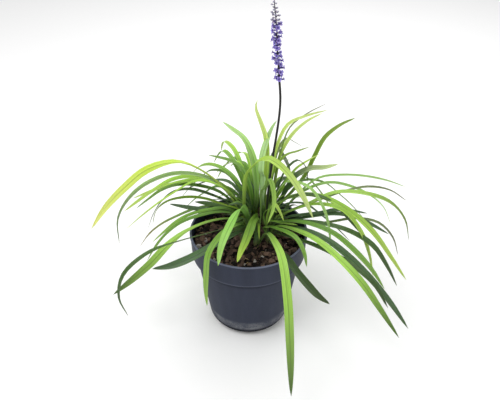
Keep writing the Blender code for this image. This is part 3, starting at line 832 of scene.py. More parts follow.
# The leaves that the photograph shows one by one, anticlockwise from the right.
HERO_LEAVES = (
    Leaf(12, 5, (39, 190, 68, 228, 104, 253, 151, 249, 200, 237, 251, 213), 20, Tone.MINT),
    Leaf(14, 8, (39, 187, 70, 223, 104, 237, 145, 228, 189, 202, 222, 169, 240, 132), 12, Tone.MINT),
    Leaf(22, 11, (32, 192, 59, 246, 85, 260, 119, 256, 141, 257), 25, Tone.DARK_TO_PALE),
    Leaf(25, 5, (26, 205, 49, 270, 68, 279, 83, 265, 89, 232), 0, Tone.DARK),
    Leaf(31, 5, (30, 200, 61, 251, 92, 266, 116, 272), 0, Tone.LIME),
    Leaf(33, 6, (15, 200, 29, 290, 42, 333, 68, 347, 129, 346), 25, Tone.PALE_LIME),
    Leaf(35, 3, (25, 210, 48, 318, 77, 345, 128, 355), 0, Tone.GREY_TIPPED),
    Leaf(36, 8, (40, 190, 90, 225, 116, 265, 144, 299, 201, 307), 25, Tone.OLIVE),
    Leaf(38, 6.5, (27, 190, 42, 286, 64, 317, 91, 331, 129, 336), 15, Tone.PALE_LIME),
    Leaf(42, 5, (20, 210, 39, 276, 82, 279, 113, 276), 10, Tone.OLIVE),
    Leaf(55, 5, (30, 220, 58, 298, 90, 289, 130, 259), 15, Tone.GREY_GREEN),
    Leaf(62, 12, (10, 240, 5, 293, 26, 317, 46, 333, 60, 337),
         -20, Tone.BRIGHT_MINT, 0, (62, 62, 62, 62, 62)),
    Leaf(75, 8, (20, 215, 26, 285, 28, 322, 30, 345, 36, 368, 38, 380),
         30, Tone.PALE_LIME, 0, (62, 60, 68, 84, 98, 93)),
    Leaf(104, 8, (14, 222, 28, 262, 52, 276, 103, 282), -18, Tone.MINT_TO_DARK),
    Leaf(111, 8, (44, 208, 82, 243, 110, 252, 155, 246, 178, 229, 187, 209), -16, Tone.LIME),
    Leaf(120, 8, (38, 207, 70, 245, 107, 256, 131, 241, 156, 209), -15, Tone.FRESH),
    Leaf(121, 10, (12, 240, 31, 301, 71, 312, 114, 311), -10, Tone.MINT),
    Leaf(130, 7, (14, 222, 29, 254, 49, 264, 77, 261, 132, 245), -15, Tone.MID),
    Leaf(140, 8, (32, 219, 58, 246, 98, 249, 135, 229, 148, 212), -20, Tone.FRESH),
    Leaf(150, 8, (45, 192, 97, 201, 140, 195, 185, 166, 224, 108, 238, 74), -25, Tone.DARK),
    Leaf(155, 7, (45, 187, 93, 196, 146, 183, 193, 150, 211, 105), -20, Tone.OLIVE),
    Leaf(156, 9, (40, 215, 74, 237, 107, 233, 170, 203, 245, 155), -25, Tone.LIME),
    Leaf(158, 8, (42, 202, 68, 220, 114, 222, 167, 204, 234, 142), -35, Tone.MID),
    Leaf(162, 10, (48, 226, 93, 245, 141, 235, 195, 193, 249, 143), -35, Tone.LIME),
    Leaf(163, 8, (50, 196, 87, 187, 146, 157, 193, 117, 223, 74), -15, Tone.DRY_TIPPED),
    Leaf(165, 9, (38, 195, 81, 203, 109, 200), -25, Tone.DARK),
    Leaf(171, 9, (45, 225, 80, 256, 128, 260, 187, 232, 237, 171, 247, 101), -45, Tone.MINT_TO_DARK),
    Leaf(172, 9, (40, 190, 83, 194, 113, 195, 148, 200), -25, Tone.BLUE_GREEN),
    Leaf(175, 14, (40, 215, 80, 266, 128, 286, 181, 266, 248, 198, 285, 144), -70, Tone.YELLOW_LIME, 30),
    Leaf(176, 9, (37, 200, 82, 198, 128, 177, 180, 126), -15, Tone.FRESH),
    Leaf(185, 8, (37, 199, 82, 200, 126, 185, 161, 152, 187, 110), -15, Tone.MID),
    Leaf(196, 14, (31, 187, 69, 196, 110, 187, 144, 168, 192, 122, 248, 80), -45, Tone.LONG_LIME, 20),
    Leaf(209, 7, (31, 178, 91, 189, 152, 193, 203, 187, 243, 153, 243, 112, 236, 79), -25, Tone.DARK, 35),
    Leaf(225, 14, (30, 176, 81, 185, 137, 187, 185, 197, 214, 211), -25, Tone.BLUE_GREEN),
    Leaf(233, 10, (40, 200, 83, 212, 115, 206, 127, 189, 135, 140, 135, 94), -15, Tone.FRESH),
    Leaf(239, 7, (42, 212, 77, 226, 107, 218, 124, 188), 10, Tone.DARK),
    Leaf(242, 13, (22, 195, 53, 240, 80, 231, 109, 223, 120, 211, 130, 184), -10, Tone.LEAFY_LIME, 75),
    Leaf(256, 14, (10, 195, 33, 209, 75, 202, 115, 205, 133, 204), 12, Tone.DARK_TO_LIME, -60),
    Leaf(281, 8, (30, 225, 42, 288, 55, 278, 63, 252, 68, 226),
         -8, Tone.HANGING, 65, (281, 289, 292, 290, 281)),
    Leaf(281, 13, (60, 200, 115, 228, 165, 232, 200, 190, 222, 125, 242, 40), 10, Tone.LONG_LIME),
    Leaf(293, 12, (33, 170, 65, 175, 108, 183, 143, 185, 200, 193, 235, 207), 25, Tone.VERY_DARK),
    Leaf(304, 8, (16, 180, 49, 196, 80, 208, 105, 210, 119, 198, 128, 174), 15, Tone.MID),
    Leaf(306, 6, (24, 205, 43, 240, 58, 226, 65, 220), 10, Tone.LIME),
    Leaf(314, 12, (25, 182, 97, 211, 153, 206, 202, 189, 242, 161, 284, 128), 15, Tone.LONG_LIME),
    Leaf(317, 9, (22, 168, 82, 187, 136, 196, 183, 195, 223, 184, 252, 154), 15, Tone.DARK),
    Leaf(320, 12, (28, 178, 96, 209, 153, 204, 200, 184, 242, 157, 282, 122), 15, Tone.BLUE_GREEN),
    Leaf(320, 13, (27, 226, 25, 275, 22, 301, 30, 316, 56, 301, 84, 273, 106, 236),
         15, Tone.ARCHED, 0, (212, 220, 252, 295, 315, 318, 320)),
    Leaf(323, 10, (39, 196, 88, 218, 132, 222, 169, 209, 203, 188, 231, 160), 15, Tone.MID),
    Leaf(328, 6, (18, 198, 40, 262, 68, 283, 94, 274, 115, 246, 129, 196, 132, 165), 12, Tone.MINT),
    Leaf(332, 8, (36, 200, 81, 237, 125, 255, 161, 235, 185, 195, 200, 144), 20, Tone.LIME),
    Leaf(331, 10, (48, 196, 95, 213, 140, 218, 182, 213, 213, 184, 239, 145), 15, Tone.DARK),
    Leaf(336, 11, (24, 198, 67, 254, 122, 253, 170, 232, 210, 190, 248, 143), 20, Tone.LIME),
    Leaf(342, 9, (44, 189, 79, 205, 113, 220, 147, 225, 178, 217, 209, 204), 15, Tone.BLUE_GREEN),
    Leaf(345, 8, (33, 186, 61, 203, 90, 211, 117, 224, 145, 229, 172, 229), 15, Tone.BLUE_GREEN),
    Leaf(347, 6, (52, 187, 96, 190, 134, 205, 173, 214, 208, 197, 228, 152), 10, Tone.GREY_GREEN),
    Leaf(355, 9, (34, 189, 80, 220, 126, 246, 176, 242, 223, 218, 246, 158), 15, Tone.LIME_TO_OLIVE),
    Leaf(359, 5, (43, 193, 80, 215, 118, 233, 156, 248, 197, 248, 235, 224), 10, Tone.GREY_GREEN),
)


@dataclass
class BladeTemplate:
    """One flat leaf blade of unit length and width, channelled along its middle."""

    spans: int = 8
    steps: int = 28
    root_fold: float = 52.0
    middle_fold: float = 25.0
    tip_fold: float = 16.0
    fold_end: float = 0.3
    root_width: float = 0.38
    widest: float = 0.56
    taper_from: float = 0.58
    thickness: float = 0.5 * MM

    def outline(self, share: float) -> float:
        """Give the blade's width at a share of its length: narrow root, long tapered point."""
        rise = math.sin(math.pi / 2 * min(1.0, max(0.0, share / self.widest))) ** 1.3
        taper = min(1.0, max(0.0, (share - self.taper_from) / (1.0 - self.taper_from)))
        return (self.root_width + (1.0 - self.root_width) * rise) * (1.0 - taper**2.7) ** 0.75

    def fold(self, share: float) -> float:
        """Give how steeply each half of the blade rises from the midrib, in radians."""
        if share < self.fold_end:
            return math.radians(self.root_fold + (self.middle_fold - self.root_fold) * share / self.fold_end)
        rest = (share - self.fold_end) / (1.0 - self.fold_end)
        return math.radians(self.middle_fold + (self.tip_fold - self.middle_fold) * rest)

    def build(self) -> Object:
        """Shape a grid to the blade's outline and channel.

        Returns:
            The template, from y = 0 at its root to y = 1 at its tip.
        """
        grid = {"x_subdivisions": self.spans, "y_subdivisions": self.steps}
        grid |= {"size": 1.0, "location": (0, 0.5, 0)}
        blade = primitive(bpy.ops.mesh.primitive_grid_add, "blade_template", **grid)
        for vert in blade.data.vertices:
            fold = self.fold(vert.co.y)
            side = vert.co.x * max(0.004, self.outline(vert.co.y))
            vert.co.z = (math.hypot(side, 0.05) - 0.05) * math.sin(fold)
            vert.co.x = side * math.cos(fold)
        bpy.ops.object.mode_set(mode="EDIT")
        bpy.ops.mesh.select_all(action="DESELECT")
        builder = bmesh.from_edit_mesh(blade.data)
        for vert in builder.verts:
            vert.select = vert.co.y > 1.0 - 0.5 / self.steps
        builder.select_flush_mode()
        bmesh.update_edit_mesh(blade.data)
        bpy.ops.mesh.merge(type="CENTER")
        bpy.ops.object.mode_set(mode="OBJECT")
        return blade

    def lay(self, template: Object, leaf: Leaf, stations: Sequence[Vector], seed: int) -> Object:
        """Copy the template and bend the copy along a leaf's course.

        A Curve modifier would flip the blades that curl back over themselves, so each station's
        frame is kept facing the leaf's own azimuth instead.

        Args:
            template: The flat blade.
            leaf: The leaf to lay.
            stations: Its course, with one station for each row of the blade.
            seed: The seed of its small ripples and of its shade.

        Returns:
            The laid blade with its "leaf_colour" attribute.
        """
        rng = random.Random(seed)
        facing = math.radians(leaf.azimuth)
        sideways = Vector((math.sin(facing), -math.cos(facing), 0))
        phase, waves = rng.uniform(0, math.tau), rng.uniform(2.0, 4.0)
        shade = rng.uniform(0.86, 1.12)
        frames = []
        for place, station in enumerate(stations):
            share = place / self.steps
            tangent = (stations[min(place + 1, self.steps)] - stations[max(place - 1, 0)]).normalized()
            across = (sideways - tangent * sideways.dot(tangent)).normalized()
            roll = leaf.roll_at(share) + 5.0 * share * math.sin(phase + waves * math.tau * share)
            across = Matrix.Rotation(math.radians(roll), 3, tangent) @ across
            frames.append((station, across, across.cross(tangent)))
        blade = placed_copy(template, Matrix.Identity(4))
        width = leaf.width * MM
        colours = np.ones((len(blade.data.vertices), 4), dtype=np.float32)
        for number, vert in enumerate(blade.data.vertices):
            share = vert.co.y
            station, across, normal = frames[round(share * self.steps)]
            ripple = 0.02 * vert.co.x * math.sin(2.0 * phase + 5.0 * math.tau * share)
            colours[number, :3] = leaf.tone.colour_at(share)[:3] * shade
            vert.co = station + across * (vert.co.x * width) + normal * ((vert.co.z + ripple) * width)
        attribute = blade.data.attributes.new("leaf_colour", "FLOAT_COLOR", "POINT")
        attribute.data.foreach_set("color", colours.ravel())
        return blade


@dataclass
class SheathTemplate:
    """The short flattened bundle of leaf bases at a shoot's foot, each folded round the next."""

    sides: int = 20
    pleat: float = 0.16

    def build(self) -> Object:
        """Raise an oval tube through the sheath's levels and pleat it.

        Returns:
            The template, round the Z axis with its flat fan along X.
        """
        radius = CROWN.sheath_radius
        profile = [
            (radius * 0.86, CROWN.sheath_foot),
            (radius * 0.95, CROWN.soil_level - 6.0 * MM),
            (radius, CROWN.soil_level + 4.0 * MM),
            (radius * 0.97, CROWN.collar_height - 3.0 * MM),
            (radius * 0.85, CROWN.collar_height + 2.0 * MM),
            (radius * 0.45, CROWN.sheath_top),
        ]
        sheath = turn_profile("sheath_template", profile, self.sides)
        for vert in sheath.data.vertices:
            side = round(math.atan2(vert.co.y, vert.co.x) / math.tau * self.sides)
            scale = 1.0 - (self.pleat if side % 2 else 0.0)
            vert.co.x *= CROWN.sheath_stretch * scale
            vert.co.y *= scale
        return sheath


@dataclass
class LeafTufts:
    """All nine leafy shoots, one piece for each, in place of their CAD solids.

    Attributes:
        blade: The blade that every leaf is copied from.
        hero_segments: The straight spans of a shown leaf's solid.
        bent_segments: The straight spans of a solid that bends sideways.
        filler_segments: The straight spans of a filling leaf's solid.
        filler_counts: How many filling leaves each shoot's solid has.
        young_counts: How many short young leaves each shoot has besides.
    """

    blade: BladeTemplate = field(default_factory=BladeTemplate)
    hero_segments: int = 7
    bent_segments: int = 20
    filler_segments: int = 6
    filler_counts: tuple[int, ...] = (1, 6, 6, 4, 1, 0, 0, 0, 2)
    young_counts: tuple[int, ...] = (6, 7, 7, 7, 6, 4, 3, 4, 6)

    def fillers(self, index: int) -> list[Leaf]:
        """Draw the leaves that fill a wedge between the shown ones, as the solid has them.

        Args:
            index: The shoot's number.

        Returns:
            The filling leaves.
        """
        rng = random.Random(100 + index)
        tones = random.Random(200 + index)
        count = self.filler_counts[index]
        leaves = []
        for number in range(count):
            spread = (number + 0.5) / count - 0.5
            azimuth = CROWN.shoot_azimuth(index) + 34.0 * spread + rng.uniform(-2.0, 2.0)
            rise = rng.uniform(0.25, 1.0)
            reach = rng.uniform(150.0, 235.0) * (1.0 - 0.25 * rise * (number % 2))
            top = 190.0 + 85.0 * rise
            tip = max(75.0, top - rng.uniform(50.0, 120.0) * (reach / 190.0) ** 2)
            inner = (reach * 0.16, 158.0 + (top - 158.0) * 0.62, reach * 0.42, top)
            course = (*inner, reach * 0.74, top * 0.55 + tip * 0.45, reach, tip)
            tone = tones.choice((Tone.MID, Tone.FRESH, Tone.DARK, Tone.LIME, Tone.BLUE_GREEN))
            leaves.append(Leaf(azimuth, rng.uniform(6.5, 9.0), course, rng.uniform(-25.0, 25.0), tone))
        return leaves

    def young(self, index: int) -> list[Leaf]:
        """Draw the short young leaves that thicken a shoot, well inside its older ones.

        Args:
            index: The shoot's number.

        Returns:
            The young leaves.
        """
        rng = random.Random(300 + index)
        leaves = []
        for _ in range(self.young_counts[index]):
            azimuth = CROWN.shoot_azimuth(index) + rng.uniform(-15.0, 15.0)
            reach = rng.uniform(28.0, 85.0)
            top = rng.uniform(198.0, 262.0) - reach * 0.35
            inner = (reach * 0.25, 172.0 + (top - 172.0) * 0.5, reach * 0.6, top * 0.97)
            course = (*inner, reach, top - rng.uniform(-8.0, 14.0))
            tone = rng.choice((Tone.MID, Tone.DARK, Tone.BLUE_GREEN, Tone.FRESH, Tone.OLIVE))
            leaves.append(Leaf(azimuth, rng.uniform(3.0, 5.2), course, rng.uniform(-20.0, 20.0), tone))
        return leaves

    def blades(self, index: int, template: Object) -> list[Object]:
        """Lay every leaf of a shoot.

        Args:
            index: The shoot's number.
            template: The flat blade.

        Returns:
            The laid blades.
        """
        heroes = [leaf for leaf in HERO_LEAVES if CROWN.shoot_index(leaf.root_azimuth) == index]
        grown = sorted(heroes + self.fillers(index), key=Leaf.steepness, reverse=True)
        seed = 1000 * index
        rows = [(leaf, order / (len(grown) - 1), seed + order) for order, leaf in enumerate(grown)]
        for order, leaf in enumerate(self.young(index)):
            rows.append((leaf, 0.15 + 0.1 * order, seed + 500 + order))
        blades = []
        for leaf, rank, number in rows:
            segments = self.hero_segments if leaf in heroes else self.filler_segments
            segments = self.bent_segments if leaf.bends else segments
            stations = leaf.stations(index, rank, segments, self.blade.steps)
            blades.append(self.blade.lay(template, leaf, stations, number))
        return blades

    def build(self) -> list[Object]:
        """Lay every leaf and join each shoot.

        Returns:
            The nine finished pieces.
        """
        upper = LeafSkin("leaf_cuticle_upper", "#a4b87c", 0.03, 0.4, 0.25 * MM).build()
        under = LeafSkin("leaf_cuticle_underside", "#a8b684", 0.16, 0.52, 0.35 * MM).build()
        base = StemSkin("leaf_sheath_fibrous", "#8d8659", "#3f6a34", 150 * MM, 178 * MM, 0.55).build()
        templates = [self.blade.build(), SheathTemplate().build()]
        shell = {"thickness": self.blade.thickness, "offset": -1.0}
        pieces = []
        for index in range(CROWN.shoots):
            tuft = joined(self.blades(index, templates[0]), f"leafy_shoot_{index + 1:02d}")
            dress(tuft, upper, under, base)
            apply_modifier(tuft, "SOLIDIFY", **shell, material_offset=1, material_offset_rim=1)
            azimuth = CROWN.shoot_azimuth(index)
            stand = Matrix.Translation(CROWN.point(azimuth, CROWN.ring, 0.0))
            sheath = placed_copy(templates[1], stand @ Matrix.Rotation(math.radians(azimuth), 4, "Z"))
            dress(sheath, upper, under, base)
            for face in sheath.data.polygons:
                face.material_index = 2
            tuft = joined([tuft, sheath], tuft.name)
            shade_smooth(tuft, 60.0)
            pieces.append(settle(tuft, "leaf", f"leaf_tuft_{index + 1:02d}"))
        remove(templates)
        return pieces


# --- Flower stalk and head ---


@dataclass
class FlowerStalk:
    """The bare dark stalk, ridged along its length."""

    lower_course: tuple[float, ...] = (11, 133, 12, 170, 15, 235, 21, 300, 25, 332)
    upper_course: tuple[float, ...] = (29, 370, 30, 395, 29, 414, 28, 424)
    radius: float = 2.0 * MM
    top_radius: float = 1.7 * MM
    sides: int = 16
    ridge: float = 0.12
    steps: int = 60

    def points(self, course: Sequence[float], steps: int) -> list[Vector]:
        """Read a course of reaches and heights in the stalk's upright plane."""
        places = zip(course[::2], course[1::2])
        through = [CROWN.point(CROWN.wedge_start, reach * MM, height * MM) for reach, height in places]
        return spline(through, steps)

    def rod(self, name: str, points: Sequence[Vector], start: float, end: float) -> Object:
        """Extrude a ridged disc along points.

        Args:
            name: The rod's name.
            points: Its middle line.
            start: Its first radius.
            end: Its last radius.

        Returns:
            The closed rod.
        """
        last = len(points) - 1
        rings = [(start + (end - start) * place / last, place * MM) for place in range(len(points))]
        rod = turn_profile(name, rings, self.sides)
        for vert in rod.data.vertices:
            place = min(last, round(vert.co.z / MM))
            tangent = (points[min(place + 1, last)] - points[max(place - 1, 0)]).normalized()
            depth = (Vector((0, 1, 0)) - tangent * tangent.y).normalized()
            side = round(math.atan2(vert.co.y, vert.co.x) / math.tau * self.sides)
            scale = 1.0 - (self.ridge if side % 2 else 0.0)
            vert.co = points[place] + (depth.cross(tangent) * vert.co.x + depth * vert.co.y) * scale
        shade_smooth(rod, 60.0)
        return rod

    def build(self) -> Object:
        """Build the stalk.

        Returns:
            The finished piece.
        """
        points = self.points(self.lower_course + self.upper_course, self.steps)
        stalk = self.rod("ridged_stalk", points, self.radius, self.top_radius)
        skin = StemSkin("stalk_purple_black", "#2d3a1c", "#141013", 170 * MM, 270 * MM, 0.6).build()
        dress(stalk, skin)
        return settle(stalk, "stalk", "flower_stalk")


@dataclass
class FlowerHead:
    """The spike of small violet florets over its dark rachis, open below and in bud at the tip."""

    course: tuple[float, ...] = (28, 424, 25, 458, 23, 483, 22, 503, 20, 520, 18, 540)
    count: int = 84
    floret_radius: float = 4.0 * MM
    bud_radius: float = 1.5 * MM
    head_radius: float = 5.4 * MM
    rachis_radius: float = 1.4 * MM
    rachis_tip_radius: float = 0.6 * MM
    open_share: float = 0.74
    loose_share: float = 0.22
    loose_gaps: float = 0.28
    other_gaps: float = 0.04
    steps: int = 24
    petals: int = 6
    stalk: FlowerStalk = field(default_factory=FlowerStalk)

    def petal(self) -> Object:
        """Model one spoon-shaped petal of unit length, pointing along X and cupped up.

        Returns:
            The petal with its "petal_share" attribute.
        """
        grid = {"x_subdivisions": 4, "y_subdivisions": 2, "size": 1.0, "location": (0.5, 0, 0)}
        petal = primitive(bpy.ops.mesh.primitive_grid_add, "petal_template", **grid)
        shares = []
        for vert in petal.data.vertices:
            share = vert.co.x
            half = 0.16 + 0.5 * math.sin(math.pi * min(1.0, share * 0.85 + 0.1)) ** 1.2
            vert.co.z = 0.42 * share**1.6 + 0.35 * abs(vert.co.y) * half
            vert.co.y *= half
            vert.co.x = share * 0.92
            shares.append(0.1 + 0.9 * share)
        set_attribute(petal, "petal_share", shares)
        return petal

    def stem(self, name: str, low: float, high: float, depth: float, middle: float) -> Object:
        """Model the short stem under a floret or bud.

        Args:
            name: The stem's name.
            low: Its radius at its foot.
            high: Its radius at its top.
            depth: Its length.
            middle: The height of its middle.

        Returns:
            The stem with its "petal_share" attribute.
        """
        cone = {"vertices": 5, "radius1": low, "radius2": high, "depth": depth, "location": (0, 0, middle)}
        stem = primitive(bpy.ops.mesh.primitive_cone_add, name, **cone)
        set_attribute(stem, "petal_share", 0.05)
        return stem

    def floret(self) -> Object:
        """Model one open floret of unit radius, facing up.

        Returns:
            The template, with a material slot for its petals and one for its anthers.
        """
        petal = self.petal()
        ball = {"subdivisions": 1, "radius": 0.17, "location": (0, 0, 0.3)}
        anthers = primitive(bpy.ops.mesh.primitive_ico_sphere_add, "anthers", **ball)
        set_attribute(anthers, "petal_share", 0.0)
        for face in anthers.data.polygons:
            face.material_index = 1
        dress(anthers, None, None)
        parts = [anthers]
        for number in range(self.petals):
            scale = 1.0 if number % 2 else 0.9
            turn = Matrix.Rotation(math.tau * number / self.petals, 4, "Z")
            parts.append(placed_copy(petal, turn @ Matrix.Scale(scale, 4)))
        remove([petal])
        return joined([*parts, self.stem("floret_stem", 0.1, 0.34, 1.3, -0.55)], "floret_template")

    def bud(self) -> Object:
        """Model one closed bud of unit radius, pointing up on its short stem.

        Returns:
            The template.
        """
        ball = {"segments": 6, "ring_count": 5, "radius": 1.0}
        bud = primitive(bpy.ops.mesh.primitive_uv_sphere_add, "bud_template", **ball)
        shares = []
        for vert in bud.data.vertices:
            vert.co.z = vert.co.z * 1.35 + 0.3
            vert.co.xy *= 1.0 - 0.18 * max(0.0, vert.co.z)
            # Paler towards the bud's top: partly painted highlight.
            shares.append(0.35 + 0.3 * vert.co.z)
        set_attribute(bud, "petal_share", shares)
        return joined([bud, self.stem("bud_stem", 0.16, 0.3, 2.2, -1.7)], "bud_template")

    def place(self, template: Object, point: Vector, outward: Vector, radius: float, turn: float) -> Object:
        """Copy a template onto the head.

        Args:
            template: The floret or bud.
            point: Where its middle goes.
            outward: The direction that it faces.
            radius: Its radius.
            turn: How far it is turned about its own axis.

        Returns:
            The copy.
        """
        stand = outward.to_track_quat("Z", "Y").to_matrix().to_4x4() @ Matrix.Rotation(turn, 4, "Z")
        return placed_copy(template, Matrix.Translation(point) @ stand @ Matrix.Scale(radius, 4))

    def build(self) -> Object:
        """Set the florets where the CAD head has them, with smaller ones between.

        Returns:
            The finished piece.
        """
        petal = PetalSkin("petal_velvet_violet", "#3a2a86", "#a493e2", 0.3).build()
        anther = StemSkin("anther_pale_yellow", "#d8c66a", "#e6d98c", 0.0, 1.0, 0.7).build()
        bud_skin = PetalSkin("bud_grey_violet", "#4a4260", "#c0bacf", 0.2).build()
        rachis_skin = StemSkin("rachis_purple_black", "#1e1a1c", "#2e2540", 430 * MM, 540 * MM, 0.5).build()
        floret, bud = self.floret(), self.bud()
        dress(floret, petal, anther)
        dress(bud, bud_skin)
        axis = self.stalk.points(self.course, self.steps)
        rng, extra = random.Random(5), random.Random(6)
        parts = []
        for index in range(self.count):
            share = 0.02 + 0.97 * (index + 0.5) / self.count
            place = share * (len(axis) - 1)
            low = min(int(place), len(axis) - 2)
            point = axis[low].lerp(axis[low + 1], place - low)
            tangent = (axis[low + 1] - axis[low]).normalized()
            spin = Matrix.Rotation(index * GOLDEN_ANGLE + rng.uniform(-0.2, 0.2), 3, tangent)
            spoke = spin @ Vector((1, 0, 0))
            outward = (spoke - tangent * spoke.dot(tangent) + tangent * 0.25).normalized()
            closing = max(0.0, (share - self.open_share) / (1.0 - self.open_share))
            reach = self.head_radius * (0.95 + rng.uniform(-0.4, 0.35)) * (1.0 - 0.55 * closing)
            turn = extra.uniform(0, math.tau)
            if extra.random() < (self.loose_gaps if share < self.loose_share else self.other_gaps):
                continue
            if share < self.open_share:
                template, radius = floret, self.floret_radius * rng.uniform(0.72, 1.12)
            else:
                template, radius = bud, self.bud_radius * (1.1 - 0.35 * closing)
            aside = Matrix.Rotation(extra.uniform(0.6, 1.0), 3, tangent) @ outward
            small = self.bud_radius * extra.uniform(0.55, 0.8) * (1.0 - 0.4 * closing)
            inside, small = (0.7, 2.0 * small) if template is floret else (0.75, small)
            parts.append(self.place(template, point + outward * reach, outward, radius, turn))
            parts.append(self.place(template, point + aside * reach * inside, aside, small, turn))
        remove([floret, bud])
        rachis = self.stalk.rod("rachis", axis, self.rachis_radius, self.rachis_tip_radius)
        dress(rachis, rachis_skin)
        set_attribute(rachis, "petal_share", 0.0)
        head = joined([rachis, *parts], "floret_spike")
        shade_smooth(head, 50.0)
        return settle(head, "petal", "flower_head")


# --- Pot and soil ---


@dataclass
class NurseryPot:
    """The turned pot: foot, tapering body, step, band and lip, with water grooves below."""

    rim_radius: float = 95.0 * MM
    height: float = 177.0 * MM
    band_height: float = 41.0 * MM
    band_taper: float = 1.5 * MM
    body_top_radius: float = 86.0 * MM
    body_base_radius: float = 68.0 * MM
    foot_round: float = 19.0 * MM
    wall: float = 2.4 * MM
    lip_overhang: float = 1.0 * MM
    lip_height: float = 4.0 * MM
    floor_thickness: float = 5.0 * MM
    sides: int = 128
    groove_count: int = 8
    groove_start: float = 15.0
    groove_width: float = 7.0 * MM
    groove_depth: float = 3.0 * MM
    hole_radius: float = 4.0 * MM
    hole_reach: float = 44.0 * MM

    def profile(self) -> list[Span]:
        """List the pot's rings from the underside round the lip to the floor inside.

        Returns:
            The rings as (r, z).
        """
        step = self.height - self.band_height
        band = self.rim_radius - self.lip_overhang
        lip = self.height - self.lip_height
        inner = band - self.wall
        rings = arc((self.body_base_radius - self.foot_round, self.foot_round), self.foot_round, -90, -4, 12)
        rings += [(self.body_top_radius - 0.4 * MM, step - 6.0 * MM), (self.body_top_radius, step - 2.5 * MM)]
        rings += arc((self.body_top_radius + 1.6 * MM, step - 1.9 * MM), 1.6 * MM, 180, 90, 4)
        rings += arc((band - self.band_taper - 1.4 * MM, step + 1.4 * MM), 1.4 * MM, -80, 0, 4)
        rings += [(band, lip - 0.8 * MM), (band + 0.1 * MM, lip)]
        rings += arc((self.rim_radius - 0.5 * MM, lip + 0.5 * MM), 0.5 * MM, -90, 0, 3)
        rings += arc((self.rim_radius - 1.2 * MM, self.height - 1.2 * MM), 1.2 * MM, 0, 90, 5)
        rings += arc((inner + 0.6 * MM, self.height - 0.6 * MM), 0.6 * MM, 90, 180, 3)
        rings += [(inner - self.band_taper, step + self.wall), (self.body_top_radius - self.wall, step)]
        base = self.body_base_radius - self.wall
        return rings + [(base, self.floor_thickness + 13.0 * MM), (base - 8.0 * MM, self.floor_thickness)]

    def cut_grooves(self, pot: Object) -> None:
        """Cut the radial water grooves and their drain holes out of the underside."""
        cutters = []
        length = self.body_base_radius + 5.0 * MM - self.hole_reach
        groove = {"size": 1.0, "scale": (length, self.groove_width, 2 * self.groove_depth)}
        hole = {"vertices": 24, "radius": self.hole_radius, "depth": 4 * self.floor_thickness}
        for index in range(self.groove_count):
            angle = math.radians(self.groove_start) + math.tau * index / self.groove_count
            outward = Matrix.Rotation(angle, 4, "Z") @ Vector((1, 0, 0))
            middle = {"location": outward * (self.hole_reach + length / 2), "rotation": (0, 0, angle)}
            cutters.append(primitive(bpy.ops.mesh.primitive_cube_add, "groove_cutter", **middle, **groove))
            hole["location"] = outward * self.hole_reach
            cutters.append(primitive(bpy.ops.mesh.primitive_cylinder_add, "drain_cutter", **hole))
        for cutter in cutters:
            apply_modifier(pot, "BOOLEAN", operation="DIFFERENCE", solver="EXACT", object=cutter)
        remove(cutters)

    def build(self) -> Object:
        """Turn the pot with its rounded profile, cut its grooves and shade it smooth.

        Returns:
            The finished piece.
        """
        pot = turn_profile("nursery_pot", self.profile(), self.sides)
        self.cut_grooves(pot)
        shade_smooth(pot, 35.0)
        dress(pot, MouldedPolypropylene().build())
        return settle(pot, "pot", "pot")


@dataclass(frozen=True)
class Litter:
    """How one kind of bits lies on the soil.

    Attributes:
        count: How many there are.
        sizes: Their least and greatest length.
        tilt: How far they may lean, in radians.
        lift: How far they stand out of the bed.
        tones: Their least and greatest "chip_tone".
    """

    count: int
    sizes: Span
    tilt: float
    lift: float
    tones: Span


